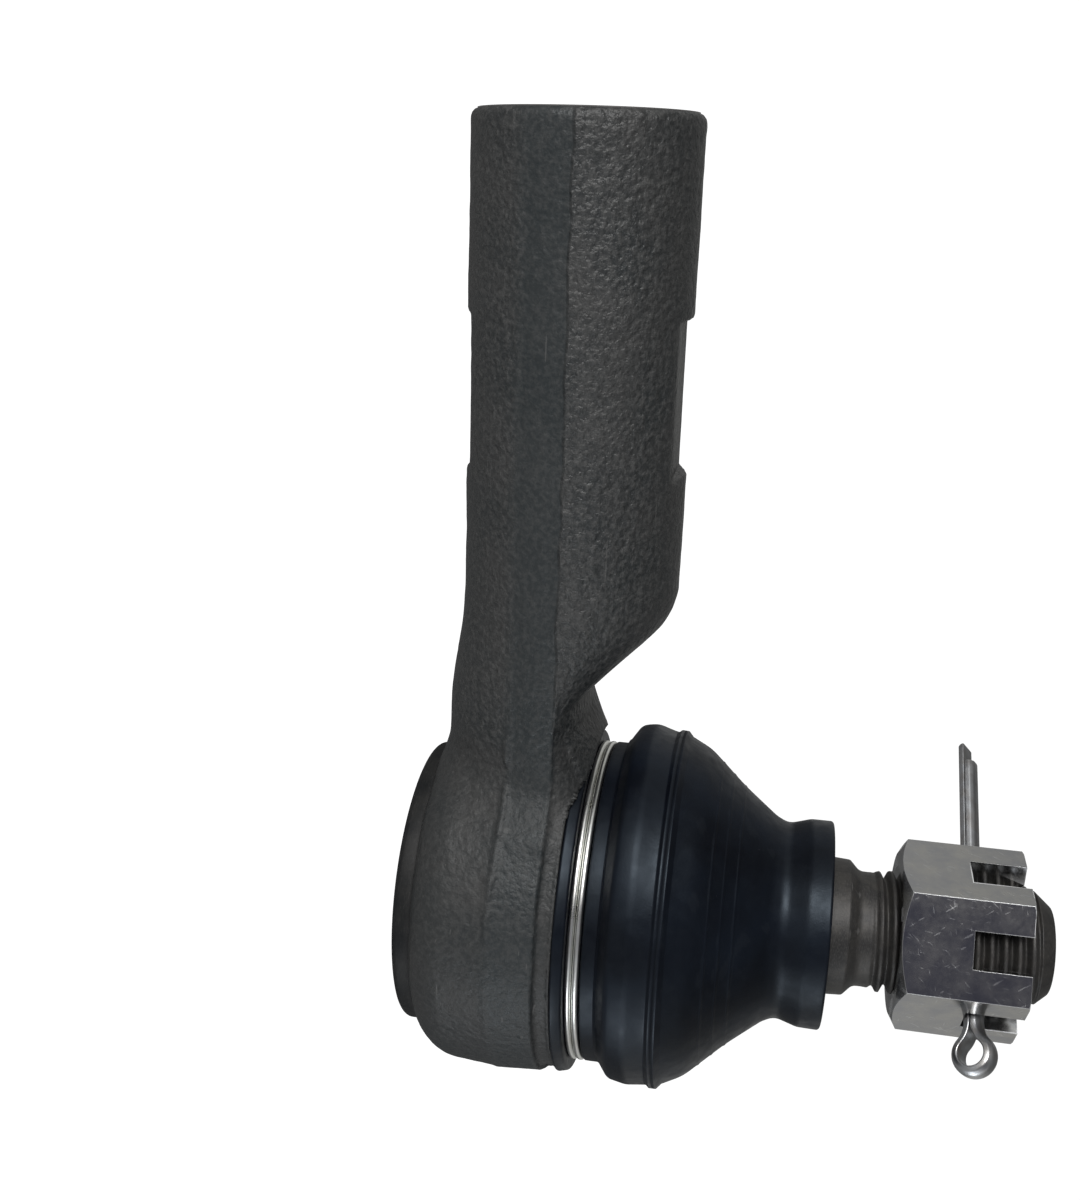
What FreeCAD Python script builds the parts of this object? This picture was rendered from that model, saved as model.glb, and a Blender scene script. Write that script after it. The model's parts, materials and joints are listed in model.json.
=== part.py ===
import FreeCAD, Part
import math
import os

# Tie rod end: a forged housing with a threaded shank and a ball socket, and in the socket a ball
# stud that tilts and turns. A rubber boot seals the socket, and a castle nut with a cotter pin
# waits on the stud.
#
# Frame, in millimetres: the origin is the centre of the shank's open mouth, +X points out of the
# mouth along the shank's thread, and +Z is along the ball stud, towards its threaded end.

# ---- Forged housing ----
STUD_OFFSET = 90.1          # from the shank's mouth back to the stud's axis
SHANK_R = 12.1
ROD_THREAD_D = 16.0         # female thread for the tie rod
ROD_THREAD_PITCH = 1.5
ROD_THREAD_DEPTH = 45.0
DRILL_TIP_ANGLE = 118.0
SHANK_EDGE = 0.8            # rounding of the mouth's outer edge
FLATS_ACROSS = 22.0         # two flats for a spanner
FLATS_START = 20.5          # from the mouth to the flats
FLATS_LENGTH = 16.5
SLANT_START = 52.95         # from the mouth to where the slope would leave the shank's top
SLANT_RUN = 9.25            # length of the slope along the shank
SLANT_ROUND = 7.7           # rounding between the shank's top and the slope
NECK_CROWN = 2.6            # top of the neck above the shank's axis
NECK_DEPTH = 13.7           # underside of the neck below the shank's axis
UNDERSIDE_START = 51.0      # from the mouth to where the underside starts to deepen
UNDERSIDE_RUN = 15.0
NECK_SECTIONS = 9           # sections of the loft, along the slope and again along the neck
NECK_OVERLAP = 3.0          # how far the neck runs on inside the head
NECK_BLEND_R = 10.0         # fillet between the neck's sides and the round head
HEAD_WALL = 5.55            # from the socket out to the forging's parting line
HEAD_BELLY = 0.2            # how far the head swells below the parting plane
HEAD_TOP = 2.2
HEAD_SHOULDER_R = 5.5       # rounding of the head's lower edge
HEAD_SHOULDER_RISE = 7.35   # from the rolled rim's face up to the shoulder's top
COLLAR_WALL = 1.35          # from the socket out to the neck of the boot's seat
COLLAR_LIP = 0.5            # lip that keeps the boot's bead on its seat
COLLAR_HEIGHT = 4.7
MOUTH_WALL = 3.7            # wall of the collar at the stud's opening
CRIMP_WALL = 0.9            # rim round the end cover, which is rolled over it
CRIMP_THICK = 1.45
CRIMP_EDGE = 0.5            # edge of the rolled rim
CRIMP_LEDGE = 0.3           # step between the rolled rim and the head's shoulder
CRIMP_REACH = 2.9           # how far the rolled rim reaches inwards

# ---- Ball, bearings, spring and cover ----
BALL_R = 13.0
BALL_Z = -2.8
BALL_FLAT = 2.8             # cut off the ball's underside
BALL_GAP = 0.1              # running clearance between ball and bearings
BEARING_WALL = 2.1
FIT_GAP = 0.05              # between pieces that are pressed or laid together
SWING_ANGLE = 25.5          # largest tilt of the stud, from its rest position
SWING_MARGIN = 1.0
BEARING_SPLIT = 0.3         # gap between the two bearing halves
LOWER_BEARING_SHORT = 4.2   # how far the lower bearing ends above the ball's full depth
SPRING_THICK = 0.95
SPRING_HEIGHT = 1.95        # from its outer foot to its inner top
SPRING_BALL_GAP = 0.73      # between the ball and the spring's inner edge
COVER_SLOPE = 1.2           # the dish's side runs outwards this many times its depth
COVER_BEND = 0.5            # how much further out the cover's underside bends than its top
COVER_THICK = 1.5
COVER_FLANGE_WIDTH = 7.0    # from the dish's floor out to the edge
COVER_DISH_DEPTH = 2.25
COVER_SEAT = 0.55           # how far the cover is wider than the socket

# ---- Ball stud ----
STUD_NECK_R = 6.8
STUD_NECK_TOP = 9.5
STUD_BODY_R = 8.725         # cylinder below the taper
STUD_BODY_Z = 15.5
STUD_FLARE = (0.3, 0.6)     # middle of the flare, as shares of its growth and of its height
TAPER_BIG_Z = 19.7
TAPER_SMALL_Z = 33.7
TAPER_RATIO = 8.0           # the diameter falls by 1 in this many
RELIEF_DEPTH = 0.35         # turned groove between the taper and the thread
RELIEF_Z = 35.0
THREAD_Z = 37.1
THREAD_D = 14.0             # M14 x 1.5
TIP_CHAMFER_Z = 54.6
TIP_Z = 56.9
TIP_CHAMFER = 2.0
CENTRE_DRILL_R = 2.0
CENTRE_DRILL_DEPTH = 2.0
PIN_BELOW_NUT_TOP = 5.1     # from the nut's slotted end down to the cotter pin's hole
PIN_HOLE_D = 3.3

# ---- Castle nut ----
NUT_ACROSS_FLATS = 19.0
NUT_BOTTOM = 39.7
NUT_HEIGHT = 14.0
NUT_SLOT_WIDTH = 4.2
NUT_SLOT_DEPTH = 6.3
NUT_CORNER_CHAMFER = 30.0   # degrees, at the corners of its seat
NUT_TOP_FALL = 0.25         # chamfer of the corners at its slotted end
NUT_BORE_CHAMFER = 0.6
PIN_ANGLE = 125.35          # direction of the cotter pin's eye, from +X towards +Y
THREAD_GAP = 0.05

# ---- Cotter pin ----
PIN_HOLE_GAP = 0.3          # between the pin and its hole, on each side
PIN_LEG_THICK = 1.0
PIN_LEG_GAP = 0.06
PIN_EYE_R = 2.0             # centre line of the eye
PIN_EYE_NECK_R = 3.0
PIN_EYE_REACH = 15.9        # from the stud's axis to the far side of the eye
PIN_LONG_LEG = 26.5
PIN_SHORT_LEG = 24.0
PIN_ROLL = 33.0             # degrees that the pin is turned about its own line

# ---- Dust boot, its clamp ring and its neck ring ----
BOOT_BASE_INSET = 0.2       # the boot's foot, inside the head's edge
BOOT_SEAT_GAP = 0.2         # between the boot's base and the neck beside it
BOOT_LIP_TOP = 3.6
BOOT_GROOVE_WALL = 1.6      # from the collar out to the clamp ring's groove
BOOT_GROOVE_TOP = 5.25
BOOT_BEAD_WALL = 2.35
BOOT_BEAD_TOP = 6.9
BOOT_BELLY_REACH = 4.3      # from the collar out to the belly
BOOT_BELLY_Z = 10.4
BOOT_RIM_PROUD = 0.2        # rim beyond the belly
BOOT_RIM_Z = 13.5
BOOT_RIM_HALF = 0.35
BOOT_WALL = 1.9
BOOT_SHOULDER = (0.86, 16.1)        # share of the way from waist to belly, and height
BOOT_CONE_BULGE = (0.65, 18.6)
BOOT_CONE_MIDDLE = (0.39, 21.2)
BOOT_CONE_TOP = (0.06, 25.2)
BOOT_WAIST_WALL = 1.43      # from the neck ring out to the waist
BOOT_WAIST_Z = 27.3
BOOT_COLLAR_WALL = 2.0
BOOT_COLLAR_Z = 29.4
BOOT_TOP = 31.9
BOOT_MOUTH_WALL = 0.3       # from the neck ring's outside out to the mouth
BOOT_MOUTH_DEPTH = 1.4
BOOT_LIP_GAP = 0.15         # between the boot's bore and the stud's taper
BOOT_FOOT_DRAFT = 0.4       # how much the foot narrows to its top
BOOT_EDGE = 0.2             # small steps beside the bead and the rim
BOOT_BELLY_FLARE = (0.5, 1.9)       # how far inwards and down from the belly its curve's middle is
BOOT_RIM_FOOT = 0.6         # how far inwards the rim's upper foot is
BOOT_WAIST_BEND = (0.05, 1.0)       # how far outwards and down from the waist its curve's middle is
BOOT_MOUTH_EDGE = 0.5
BOOT_MOUTH_DRAFT = 0.3
BOOT_SEAT_REACH = 0.6       # how far above the collar's lip the boot starts to widen
NECK_RING_GAP = 0.45        # between the ring's foot and the stud's taper
NECK_RING_WALL = 1.3
NECK_RING_Z = (25.7, 28.3)
WIRE_D = 0.74
WIRE_PITCH = 0.79
WIRE_TURNS = 2

# ---- Derived sizes ----
THREAD_R = THREAD_D / 2
ROD_BORE_R = ROD_THREAD_D / 2 - 0.54125 * ROD_THREAD_PITCH
RELIEF_R = THREAD_R - RELIEF_DEPTH
TIP_R = THREAD_R - TIP_CHAMFER
PIN_Z = NUT_BOTTOM + NUT_HEIGHT - PIN_BELOW_NUT_TOP
PIN_WIDTH = PIN_HOLE_D - 2 * PIN_HOLE_GAP

BALL_FLAT_DEPTH = BALL_R - BALL_FLAT
BALL_FLAT_R = math.sqrt(BALL_R**2 - BALL_FLAT_DEPTH**2)
SOCKET_R = BALL_R + BALL_GAP + BEARING_WALL + FIT_GAP
LOWER_BEARING_DEPTH = BALL_R - LOWER_BEARING_SHORT
SPRING_INNER_R = math.sqrt(BALL_R**2 - LOWER_BEARING_DEPTH**2) + SPRING_BALL_GAP
COVER_TOP = BALL_Z - LOWER_BEARING_DEPTH - SPRING_HEIGHT - 2 * FIT_GAP
COVER_FLANGE_R = SOCKET_R + COVER_SEAT
COVER_DISH_R = COVER_FLANGE_R - COVER_FLANGE_WIDTH
CRIMP_R = COVER_FLANGE_R + 2 * FIT_GAP + CRIMP_WALL
CRIMP_Z = COVER_TOP - FIT_GAP - COVER_THICK - CRIMP_THICK
HEAD_R = SOCKET_R + HEAD_WALL
HEAD_SHOULDER_Z = CRIMP_Z + HEAD_SHOULDER_RISE
COLLAR_R = SOCKET_R + COLLAR_WALL
COLLAR_TOP = HEAD_TOP + COLLAR_HEIGHT
SOCKET_MOUTH_R = COLLAR_R - MOUTH_WALL


def taper_r(z):
    """The radius of the stud's taper at a height."""
    return STUD_BODY_R - (z - TAPER_BIG_Z) / (2 * TAPER_RATIO)


NECK_RING_INNER_R = taper_r(NECK_RING_Z[0]) + NECK_RING_GAP
NECK_RING_OUTER_R = NECK_RING_INNER_R + NECK_RING_WALL
BOOT_BASE_R = HEAD_R - BOOT_BASE_INSET
BOOT_GROOVE_R = COLLAR_R + BOOT_GROOVE_WALL
BOOT_BEAD_R = COLLAR_R + BOOT_BEAD_WALL
BOOT_BELLY_R = COLLAR_R + BOOT_BELLY_REACH
BOOT_RIM_R = BOOT_BELLY_R + BOOT_RIM_PROUD
BOOT_WAIST_R = NECK_RING_OUTER_R + BOOT_WAIST_WALL
BOOT_COLLAR_R = NECK_RING_OUTER_R + BOOT_COLLAR_WALL
BOOT_MOUTH_R = NECK_RING_OUTER_R + BOOT_MOUTH_WALL


def at_stud(r, z):
    """A point of a turned profile: radius from the stud's axis, and height."""
    return FreeCAD.Vector(r - STUD_OFFSET, 0, z)


def outline(place, start, steps):
    """A closed wire through 2-D points. A step is a point, or a pair: an arc's middle and end."""
    edges = []
    here = place(*start)
    for step in steps + [start]:
        if isinstance(step[0], tuple):
            middle, end = place(*step[0]), place(*step[1])
            edges.append(Part.Arc(here, middle, end).toShape())
        else:
            end = place(*step)
            edges.append(Part.LineSegment(here, end).toShape())
        here = end
    return Part.Wire(edges)


def turned(start, steps):
    """A solid turned about the stud's axis from a closed outline of radius and height."""
    face = Part.Face(outline(at_stud, start, steps))
    return face.revolve(at_stud(0, 0), FreeCAD.Vector(0, 0, 1), 360)


def ball_point(radius, height):
    """The point of a sphere about the ball's centre at a height above that centre."""
    return (math.sqrt(radius**2 - height**2), BALL_Z + height)


def ball_arc(radius, low, high):
    """The middle and end of a sphere's arc between two heights above the ball's centre."""
    return (ball_point(radius, (low + high) / 2), ball_point(radius, high))


def socket_height():
    """How high above the ball's centre the socket closes in to the stud's opening."""
    return math.sqrt(SOCKET_R**2 - SOCKET_MOUTH_R**2)


# ---------------------------------------------------------------- housing


def head():
    """The round head, still solid: crimp rim, rounded shoulder, belly, and the boot's seat."""
    belly = HEAD_R + HEAD_BELLY
    low_r = HEAD_R - HEAD_BELLY
    round_r = low_r - HEAD_SHOULDER_R
    diagonal = HEAD_SHOULDER_R * math.sqrt(0.5)
    shoulder_r = max(round_r, CRIMP_R + CRIMP_LEDGE)
    shoulder_z = HEAD_SHOULDER_Z - math.sqrt(HEAD_SHOULDER_R**2 - (shoulder_r - round_r)**2)
    lip_r = COLLAR_R + COLLAR_LIP
    return turned((0, CRIMP_Z), [
        (CRIMP_R - CRIMP_EDGE, CRIMP_Z),
        (CRIMP_R, CRIMP_Z + CRIMP_EDGE),
        (CRIMP_R, shoulder_z - CRIMP_LEDGE),
        (shoulder_r, shoulder_z),
        ((round_r + diagonal, HEAD_SHOULDER_Z - diagonal), (low_r, HEAD_SHOULDER_Z)),
        ((belly, HEAD_SHOULDER_Z / 2), (HEAD_R, 0)),
        (low_r, HEAD_TOP),
        (COLLAR_R, HEAD_TOP),
        (COLLAR_R, COLLAR_TOP - 3 * COLLAR_LIP),
        (lip_r, COLLAR_TOP - 2 * COLLAR_LIP),
        (lip_r, COLLAR_TOP - COLLAR_LIP),
        (COLLAR_R, COLLAR_TOP),
        (0, COLLAR_TOP),
    ])


def ease(t):
    """A smooth step from 0 to 1."""
    t = min(1.0, max(0.0, t))
    return t * t * (3 - 2 * t)


def half_ellipse(x, half_width, height):
    """A half ellipse across the shank, from the +Y side over the top, or under it, to -Y."""
    side = 1 if height > 0 else -1
    arc = Part.Arc(
        FreeCAD.Vector(0, 1, 0), FreeCAD.Vector(0, 0, side), FreeCAD.Vector(0, -1, 0))
    shape = FreeCAD.Matrix()
    shape.A22 = half_width
    shape.A33 = abs(height)
    edge = arc.toShape().transformGeometry(shape)
    edge.translate(FreeCAD.Vector(x, 0, 0))
    return edge


def neck_section(x, half_width, top, bottom):
    """A section of the neck: half ellipses above and below the parting plane."""
    upper = half_ellipse(x, half_width, top)
    lower = half_ellipse(x, half_width, -bottom)
    return Part.Wire([upper, lower])


def slant_round():
    """The slope's angle, and where along the shank its rounding starts and ends."""
    angle = math.atan((SHANK_R - NECK_CROWN) / SLANT_RUN)
    tangent = SLANT_ROUND * math.tan(angle / 2)
    return angle, tangent - SLANT_START, -SLANT_START - tangent * math.cos(angle)


def neck_top(x):
    """The height of the neck's top: level, round, sloping, then level again."""
    angle, start, end = slant_round()
    if x >= start:
        return SHANK_R
    if x >= end:
        return SHANK_R - SLANT_ROUND + math.sqrt(SLANT_ROUND**2 - (x - start)**2)
    return max(NECK_CROWN, SHANK_R + math.tan(angle) * (x + SLANT_START))


def neck():
    """The neck: the shank's round section flattens on top and runs tangent into the head."""
    blend_reach = math.sqrt((HEAD_R + NECK_BLEND_R)**2 - (SHANK_R + NECK_BLEND_R)**2)
    blend_x = blend_reach - STUD_OFFSET
    touch_x = blend_reach * HEAD_R / (HEAD_R + NECK_BLEND_R) - STUD_OFFSET
    first = slant_round()[1]
    foot = -SLANT_START - SLANT_RUN
    last = touch_x - NECK_OVERLAP
    places = [first + (foot - first) * number / NECK_SECTIONS for number in range(NECK_SECTIONS)]
    places += [foot + (last - foot) * number / NECK_SECTIONS for number in range(NECK_SECTIONS + 1)]
    sections = []
    for x in places:
        deeper = ease((-UNDERSIDE_START - x) / UNDERSIDE_RUN)
        bottom = SHANK_R + (NECK_DEPTH - SHANK_R) * deeper
        into_blend = min(max(blend_x - x, 0.0), blend_x - touch_x)
        half_width = SHANK_R + NECK_BLEND_R - math.sqrt(NECK_BLEND_R**2 - into_blend**2)
        sections.append(neck_section(x, half_width, neck_top(x), bottom))
    return Part.makeLoft(sections, True, True)


def shank():
    """The shank's plain cylinder, with a rounded edge at its mouth."""
    length = -slant_round()[1]
    body = Part.makeCylinder(
        SHANK_R, length, FreeCAD.Vector(-length, 0, 0), FreeCAD.Vector(1, 0, 0))
    mouth = [edge for edge in body.Edges if abs(edge.BoundBox.XMin) < 1e-6]
    return body.makeFillet(SHANK_EDGE, mouth)


def spanner_flats():
    """The two blocks that cut flats on the top and the underside of the shank."""
    depth = SHANK_R
    blocks = []
    for low in (FLATS_ACROSS / 2, -FLATS_ACROSS / 2 - depth):
        corner = FreeCAD.Vector(-FLATS_START - FLATS_LENGTH, -SHANK_R, low)
        blocks.append(Part.makeBox(FLATS_LENGTH, 2 * SHANK_R, depth, corner))
    return blocks


def rod_bore():
    """The female thread at its crest diameter, with the drill's point at the blind end."""
    out = FreeCAD.Vector(1, 0, 0)
    tip_length = ROD_BORE_R / math.tan(math.radians(DRILL_TIP_ANGLE / 2))
    start = FreeCAD.Vector(-ROD_THREAD_DEPTH, 0, 0)
    bore = Part.makeCylinder(ROD_BORE_R, ROD_THREAD_DEPTH + 1, start, out)
    tip = Part.makeCone(0, ROD_BORE_R, tip_length, start - out * tip_length, out)
    return bore.fuse(tip)


def socket():
    """The space inside the head: seat for the cover, bore for the bearings, and the mouth."""
    lip_in = CRIMP_R - CRIMP_REACH
    cover_r = COVER_FLANGE_R + 2 * FIT_GAP
    high = socket_height()
    return turned((0, CRIMP_Z - 1), [
        (lip_in, CRIMP_Z - 1),
        (lip_in, CRIMP_Z + CRIMP_THICK),
        (cover_r, CRIMP_Z + CRIMP_THICK),
        (cover_r, COVER_TOP),
        (SOCKET_R, COVER_TOP),
        (SOCKET_R, BALL_Z),
        ball_arc(SOCKET_R, 0, high),
        (SOCKET_MOUTH_R, COLLAR_TOP + 1),
        (0, COLLAR_TOP + 1),
    ])


def boot_room():
    """The space above the head's top face that the neck leaves free for the boot."""
    outer = BOOT_BASE_R + BOOT_SEAT_GAP
    return Part.makeCylinder(outer, 2 * SHANK_R, at_stud(0, HEAD_TOP))


def housing():
    """The forging, machined for the bearings, the cover, the boot and the tie rod."""
    forging = head().fuse([neck().cut(boot_room()), shank()]).removeSplitter()
    return forging.cut([socket(), rod_bore()] + spanner_flats())


# ---------------------------------------------------------------- socket's contents


def upper_bearing():
    """The plastic bearing that holds the ball from above."""
    inner, outer = BALL_R + BALL_GAP, SOCKET_R - FIT_GAP
    low = BEARING_SPLIT / 2
    edge_angle = math.asin(STUD_NECK_R / BALL_R) + math.radians(SWING_ANGLE + SWING_MARGIN)
    inner_high = inner * math.cos(edge_angle)
    outer_high = math.sqrt(outer**2 - (SOCKET_MOUTH_R + FIT_GAP)**2)
    return turned(ball_point(inner, low), [
        ball_arc(inner, low, inner_high),
        ball_point(outer, outer_high),
        ball_arc(outer, outer_high, low),
    ])


def lower_bearing():
    """The plastic bearing that the spring presses against the ball from below."""
    inner, outer = BALL_R + BALL_GAP, SOCKET_R - FIT_GAP
    top = -BEARING_SPLIT / 2
    bottom = -LOWER_BEARING_DEPTH
    return turned(ball_point(inner, top), [
        ball_arc(inner, top, bottom),
        (outer, BALL_Z + bottom),
        (outer, BALL_Z + top),
    ])


def preload_spring():
    """A conical spring washer between the lower bearing and the end cover."""
    top = BALL_Z - LOWER_BEARING_DEPTH - FIT_GAP
    bottom = COVER_TOP + FIT_GAP
    outer = SOCKET_R - 3 * FIT_GAP
    return turned((SPRING_INNER_R, top), [
        (outer, bottom + SPRING_THICK),
        (outer, bottom),
        (SPRING_INNER_R, top - SPRING_THICK),
    ])


def end_cover():
    """The pressed steel cover under the crimped rim, dished to clear the tilting ball."""
    top = COVER_TOP - FIT_GAP / 2
    bottom = top - COVER_THICK
    slope = COVER_SLOPE * COVER_DISH_DEPTH
    return turned((0, top - COVER_DISH_DEPTH), [
        (COVER_DISH_R, top - COVER_DISH_DEPTH),
        (COVER_DISH_R + slope, top),
        (COVER_FLANGE_R, top),
        (COVER_FLANGE_R, bottom),
        (COVER_DISH_R + slope + COVER_BEND, bottom),
        (COVER_DISH_R + COVER_BEND, bottom - COVER_DISH_DEPTH),
        (0, bottom - COVER_DISH_DEPTH),
    ])


# ---------------------------------------------------------------- stud, nut and pin


def pin_frame():
    """Where the cotter pin crosses the stud, and the direction of its eye."""
    angle = math.radians(PIN_ANGLE)
    return at_stud(0, PIN_Z), FreeCAD.Vector(math.cos(angle), math.sin(angle), 0)


def ball_stud():
    """The ball, its neck, the taper that seats in the steering arm, and the threaded end."""
    ball_top = math.sqrt(BALL_R**2 - STUD_NECK_R**2)
    small = taper_r(TAPER_SMALL_Z)
    flare_middle = (
        STUD_NECK_R + STUD_FLARE[0] * (STUD_BODY_R - STUD_NECK_R),
        STUD_NECK_TOP + STUD_FLARE[1] * (STUD_BODY_Z - STUD_NECK_TOP))
    blank = turned((0, BALL_Z - BALL_FLAT_DEPTH), [
        (BALL_FLAT_R, BALL_Z - BALL_FLAT_DEPTH),
        ball_arc(BALL_R, -BALL_FLAT_DEPTH, ball_top),
        (STUD_NECK_R, STUD_NECK_TOP),
        (flare_middle, (STUD_BODY_R, STUD_BODY_Z)),
        (STUD_BODY_R, TAPER_BIG_Z),
        (small, TAPER_SMALL_Z),
        (RELIEF_R, RELIEF_Z),
        (RELIEF_R, THREAD_Z - RELIEF_DEPTH),
        (THREAD_R, THREAD_Z),
        (THREAD_R, TIP_CHAMFER_Z),
        (TIP_R, TIP_Z),
        (CENTRE_DRILL_R, TIP_Z),
        (0, TIP_Z - CENTRE_DRILL_DEPTH),
    ])
    centre, eye = pin_frame()
    hole = Part.makeCylinder(PIN_HOLE_D / 2, 4 * THREAD_R, centre - eye * 2 * THREAD_R, eye)
    return blank.cut(hole)


def castle_nut():
    """The slotted hexagon nut. Its slots cross the middle of each face."""
    centre, eye = pin_frame()
    corner_r = NUT_ACROSS_FLATS / math.sqrt(3)
    corners = []
    for number in range(7):
        angle = math.radians(PIN_ANGLE + 30 + 60 * number)
        corners.append(FreeCAD.Vector(
            corner_r * math.cos(angle) - STUD_OFFSET, corner_r * math.sin(angle), NUT_BOTTOM))
    hexagon = Part.Face(Part.makePolygon(corners)).extrude(FreeCAD.Vector(0, 0, NUT_HEIGHT))
    fall = (corner_r - NUT_ACROSS_FLATS / 2) * math.tan(math.radians(NUT_CORNER_CHAMFER))
    face_r = NUT_ACROSS_FLATS / 2
    top = NUT_BOTTOM + NUT_HEIGHT
    rounding = turned((0, NUT_BOTTOM), [
        (face_r, NUT_BOTTOM),
        (corner_r, NUT_BOTTOM + fall),
        (corner_r + 1, NUT_BOTTOM + fall),
        (corner_r + 1, top - NUT_TOP_FALL),
        (corner_r, top - NUT_TOP_FALL),
        (corner_r - NUT_TOP_FALL, top),
        (0, top),
    ])
    bore_r = THREAD_R + THREAD_GAP
    bore = turned((0, NUT_BOTTOM - 1), [
        (bore_r + NUT_BORE_CHAMFER, NUT_BOTTOM - 1),
        (bore_r + NUT_BORE_CHAMFER, NUT_BOTTOM),
        (bore_r, NUT_BOTTOM + NUT_BORE_CHAMFER),
        (bore_r, top + 1),
        (0, top + 1),
    ])
    slots = []
    for number in range(3):
        slot = Part.makeBox(
            4 * corner_r, NUT_SLOT_WIDTH, 2 * NUT_SLOT_DEPTH,
            at_stud(-2 * corner_r, top - NUT_SLOT_DEPTH) - FreeCAD.Vector(0, NUT_SLOT_WIDTH / 2, 0))
        slot.rotate(at_stud(0, 0), FreeCAD.Vector(0, 0, 1), PIN_ANGLE + 60 * number)
        slots.append(slot)
    return hexagon.common(rounding).cut([bore] + slots)


def cotter_pin():
    """The split pin: half-round wire folded to an eye, with one leg longer than the other."""
    centre, eye = pin_frame()
    roll = math.radians(PIN_ROLL)
    level = eye.cross(FreeCAD.Vector(0, 0, 1))
    up = FreeCAD.Vector(0, 0, -math.cos(roll)) - level * math.sin(roll)
    side = eye.cross(up)
    leg_z = (PIN_LEG_GAP + PIN_LEG_THICK) / 2
    arm = math.sqrt((PIN_EYE_R + PIN_EYE_NECK_R)**2 - (leg_z + PIN_EYE_NECK_R)**2)
    eye_s = PIN_EYE_REACH - PIN_EYE_R - PIN_LEG_THICK / 2
    start_s = eye_s - arm
    share = PIN_EYE_R / (PIN_EYE_R + PIN_EYE_NECK_R)
    touch = (eye_s - arm * share, (leg_z + PIN_EYE_NECK_R) * share)
    neck_angle = (math.pi / 2 - math.atan2(leg_z + PIN_EYE_NECK_R, arm)) / 2
    bend = (
        start_s + PIN_EYE_NECK_R * math.sin(neck_angle),
        leg_z + PIN_EYE_NECK_R * (1 - math.cos(neck_angle)))

    def place(s, z):
        return centre + eye * s + up * z

    path = Part.Wire([
        Part.LineSegment(place(-PIN_LONG_LEG, leg_z), place(start_s, leg_z)).toShape(),
        Part.Arc(place(start_s, leg_z), place(*bend), place(*touch)).toShape(),
        Part.Arc(
            place(*touch), place(eye_s + PIN_EYE_R, 0), place(touch[0], -touch[1])).toShape(),
        Part.Arc(
            place(touch[0], -touch[1]), place(bend[0], -bend[1]),
            place(start_s, -leg_z)).toShape(),
        Part.LineSegment(place(start_s, -leg_z), place(-PIN_SHORT_LEG, -leg_z)).toShape(),
    ])
    flat = place(-PIN_LONG_LEG, leg_z - PIN_LEG_THICK / 2)
    half = side * (PIN_WIDTH / 2)
    crown = up * PIN_LEG_THICK
    section = Part.Wire([
        Part.LineSegment(flat - half, flat + half).toShape(),
        Part.Arc(flat + half, flat + crown, flat - half).toShape(),
    ])
    return path.makePipeShell([section], True, False)


# ---------------------------------------------------------------- boot and its rings


def cone_point(share, z):
    """A point of the boot's cone, from its share of the way from the waist to the belly."""
    return (BOOT_WAIST_R + share * (BOOT_BELLY_R - BOOT_WAIST_R), z)


def boot_outside():
    """The boot's outer outline, from the foot of its bead to the edge of its mouth."""
    belly_bulge = (BOOT_BELLY_R - BOOT_BELLY_FLARE[0], BOOT_BELLY_Z - BOOT_BELLY_FLARE[1])
    waist_bend = (BOOT_WAIST_R + BOOT_WAIST_BEND[0], BOOT_WAIST_Z - BOOT_WAIST_BEND[1])
    return [
        (BOOT_BASE_R, HEAD_TOP + FIT_GAP),
        (BOOT_BASE_R - BOOT_FOOT_DRAFT, BOOT_LIP_TOP),
        (BOOT_GROOVE_R, BOOT_LIP_TOP),
        (BOOT_GROOVE_R, BOOT_GROOVE_TOP),
        (BOOT_BEAD_R, BOOT_GROOVE_TOP + BOOT_EDGE),
        (BOOT_BEAD_R, BOOT_BEAD_TOP),
        (belly_bulge, (BOOT_BELLY_R, BOOT_BELLY_Z)),
        (BOOT_BELLY_R - BOOT_EDGE, BOOT_RIM_Z - 2 * BOOT_RIM_HALF),
        (BOOT_RIM_R, BOOT_RIM_Z - BOOT_RIM_HALF),
        (BOOT_RIM_R, BOOT_RIM_Z + BOOT_RIM_HALF),
        (BOOT_RIM_R - BOOT_RIM_FOOT, BOOT_RIM_Z + 2.5 * BOOT_RIM_HALF),
        cone_point(*BOOT_SHOULDER),
        (cone_point(*BOOT_CONE_BULGE), cone_point(*BOOT_CONE_MIDDLE)),
        cone_point(*BOOT_CONE_TOP),
        (waist_bend, (BOOT_WAIST_R, BOOT_WAIST_Z)),
        (BOOT_COLLAR_R, BOOT_COLLAR_Z),
        (BOOT_COLLAR_R, BOOT_TOP - BOOT_MOUTH_EDGE),
        (BOOT_COLLAR_R - BOOT_MOUTH_EDGE, BOOT_TOP),
    ]


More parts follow.
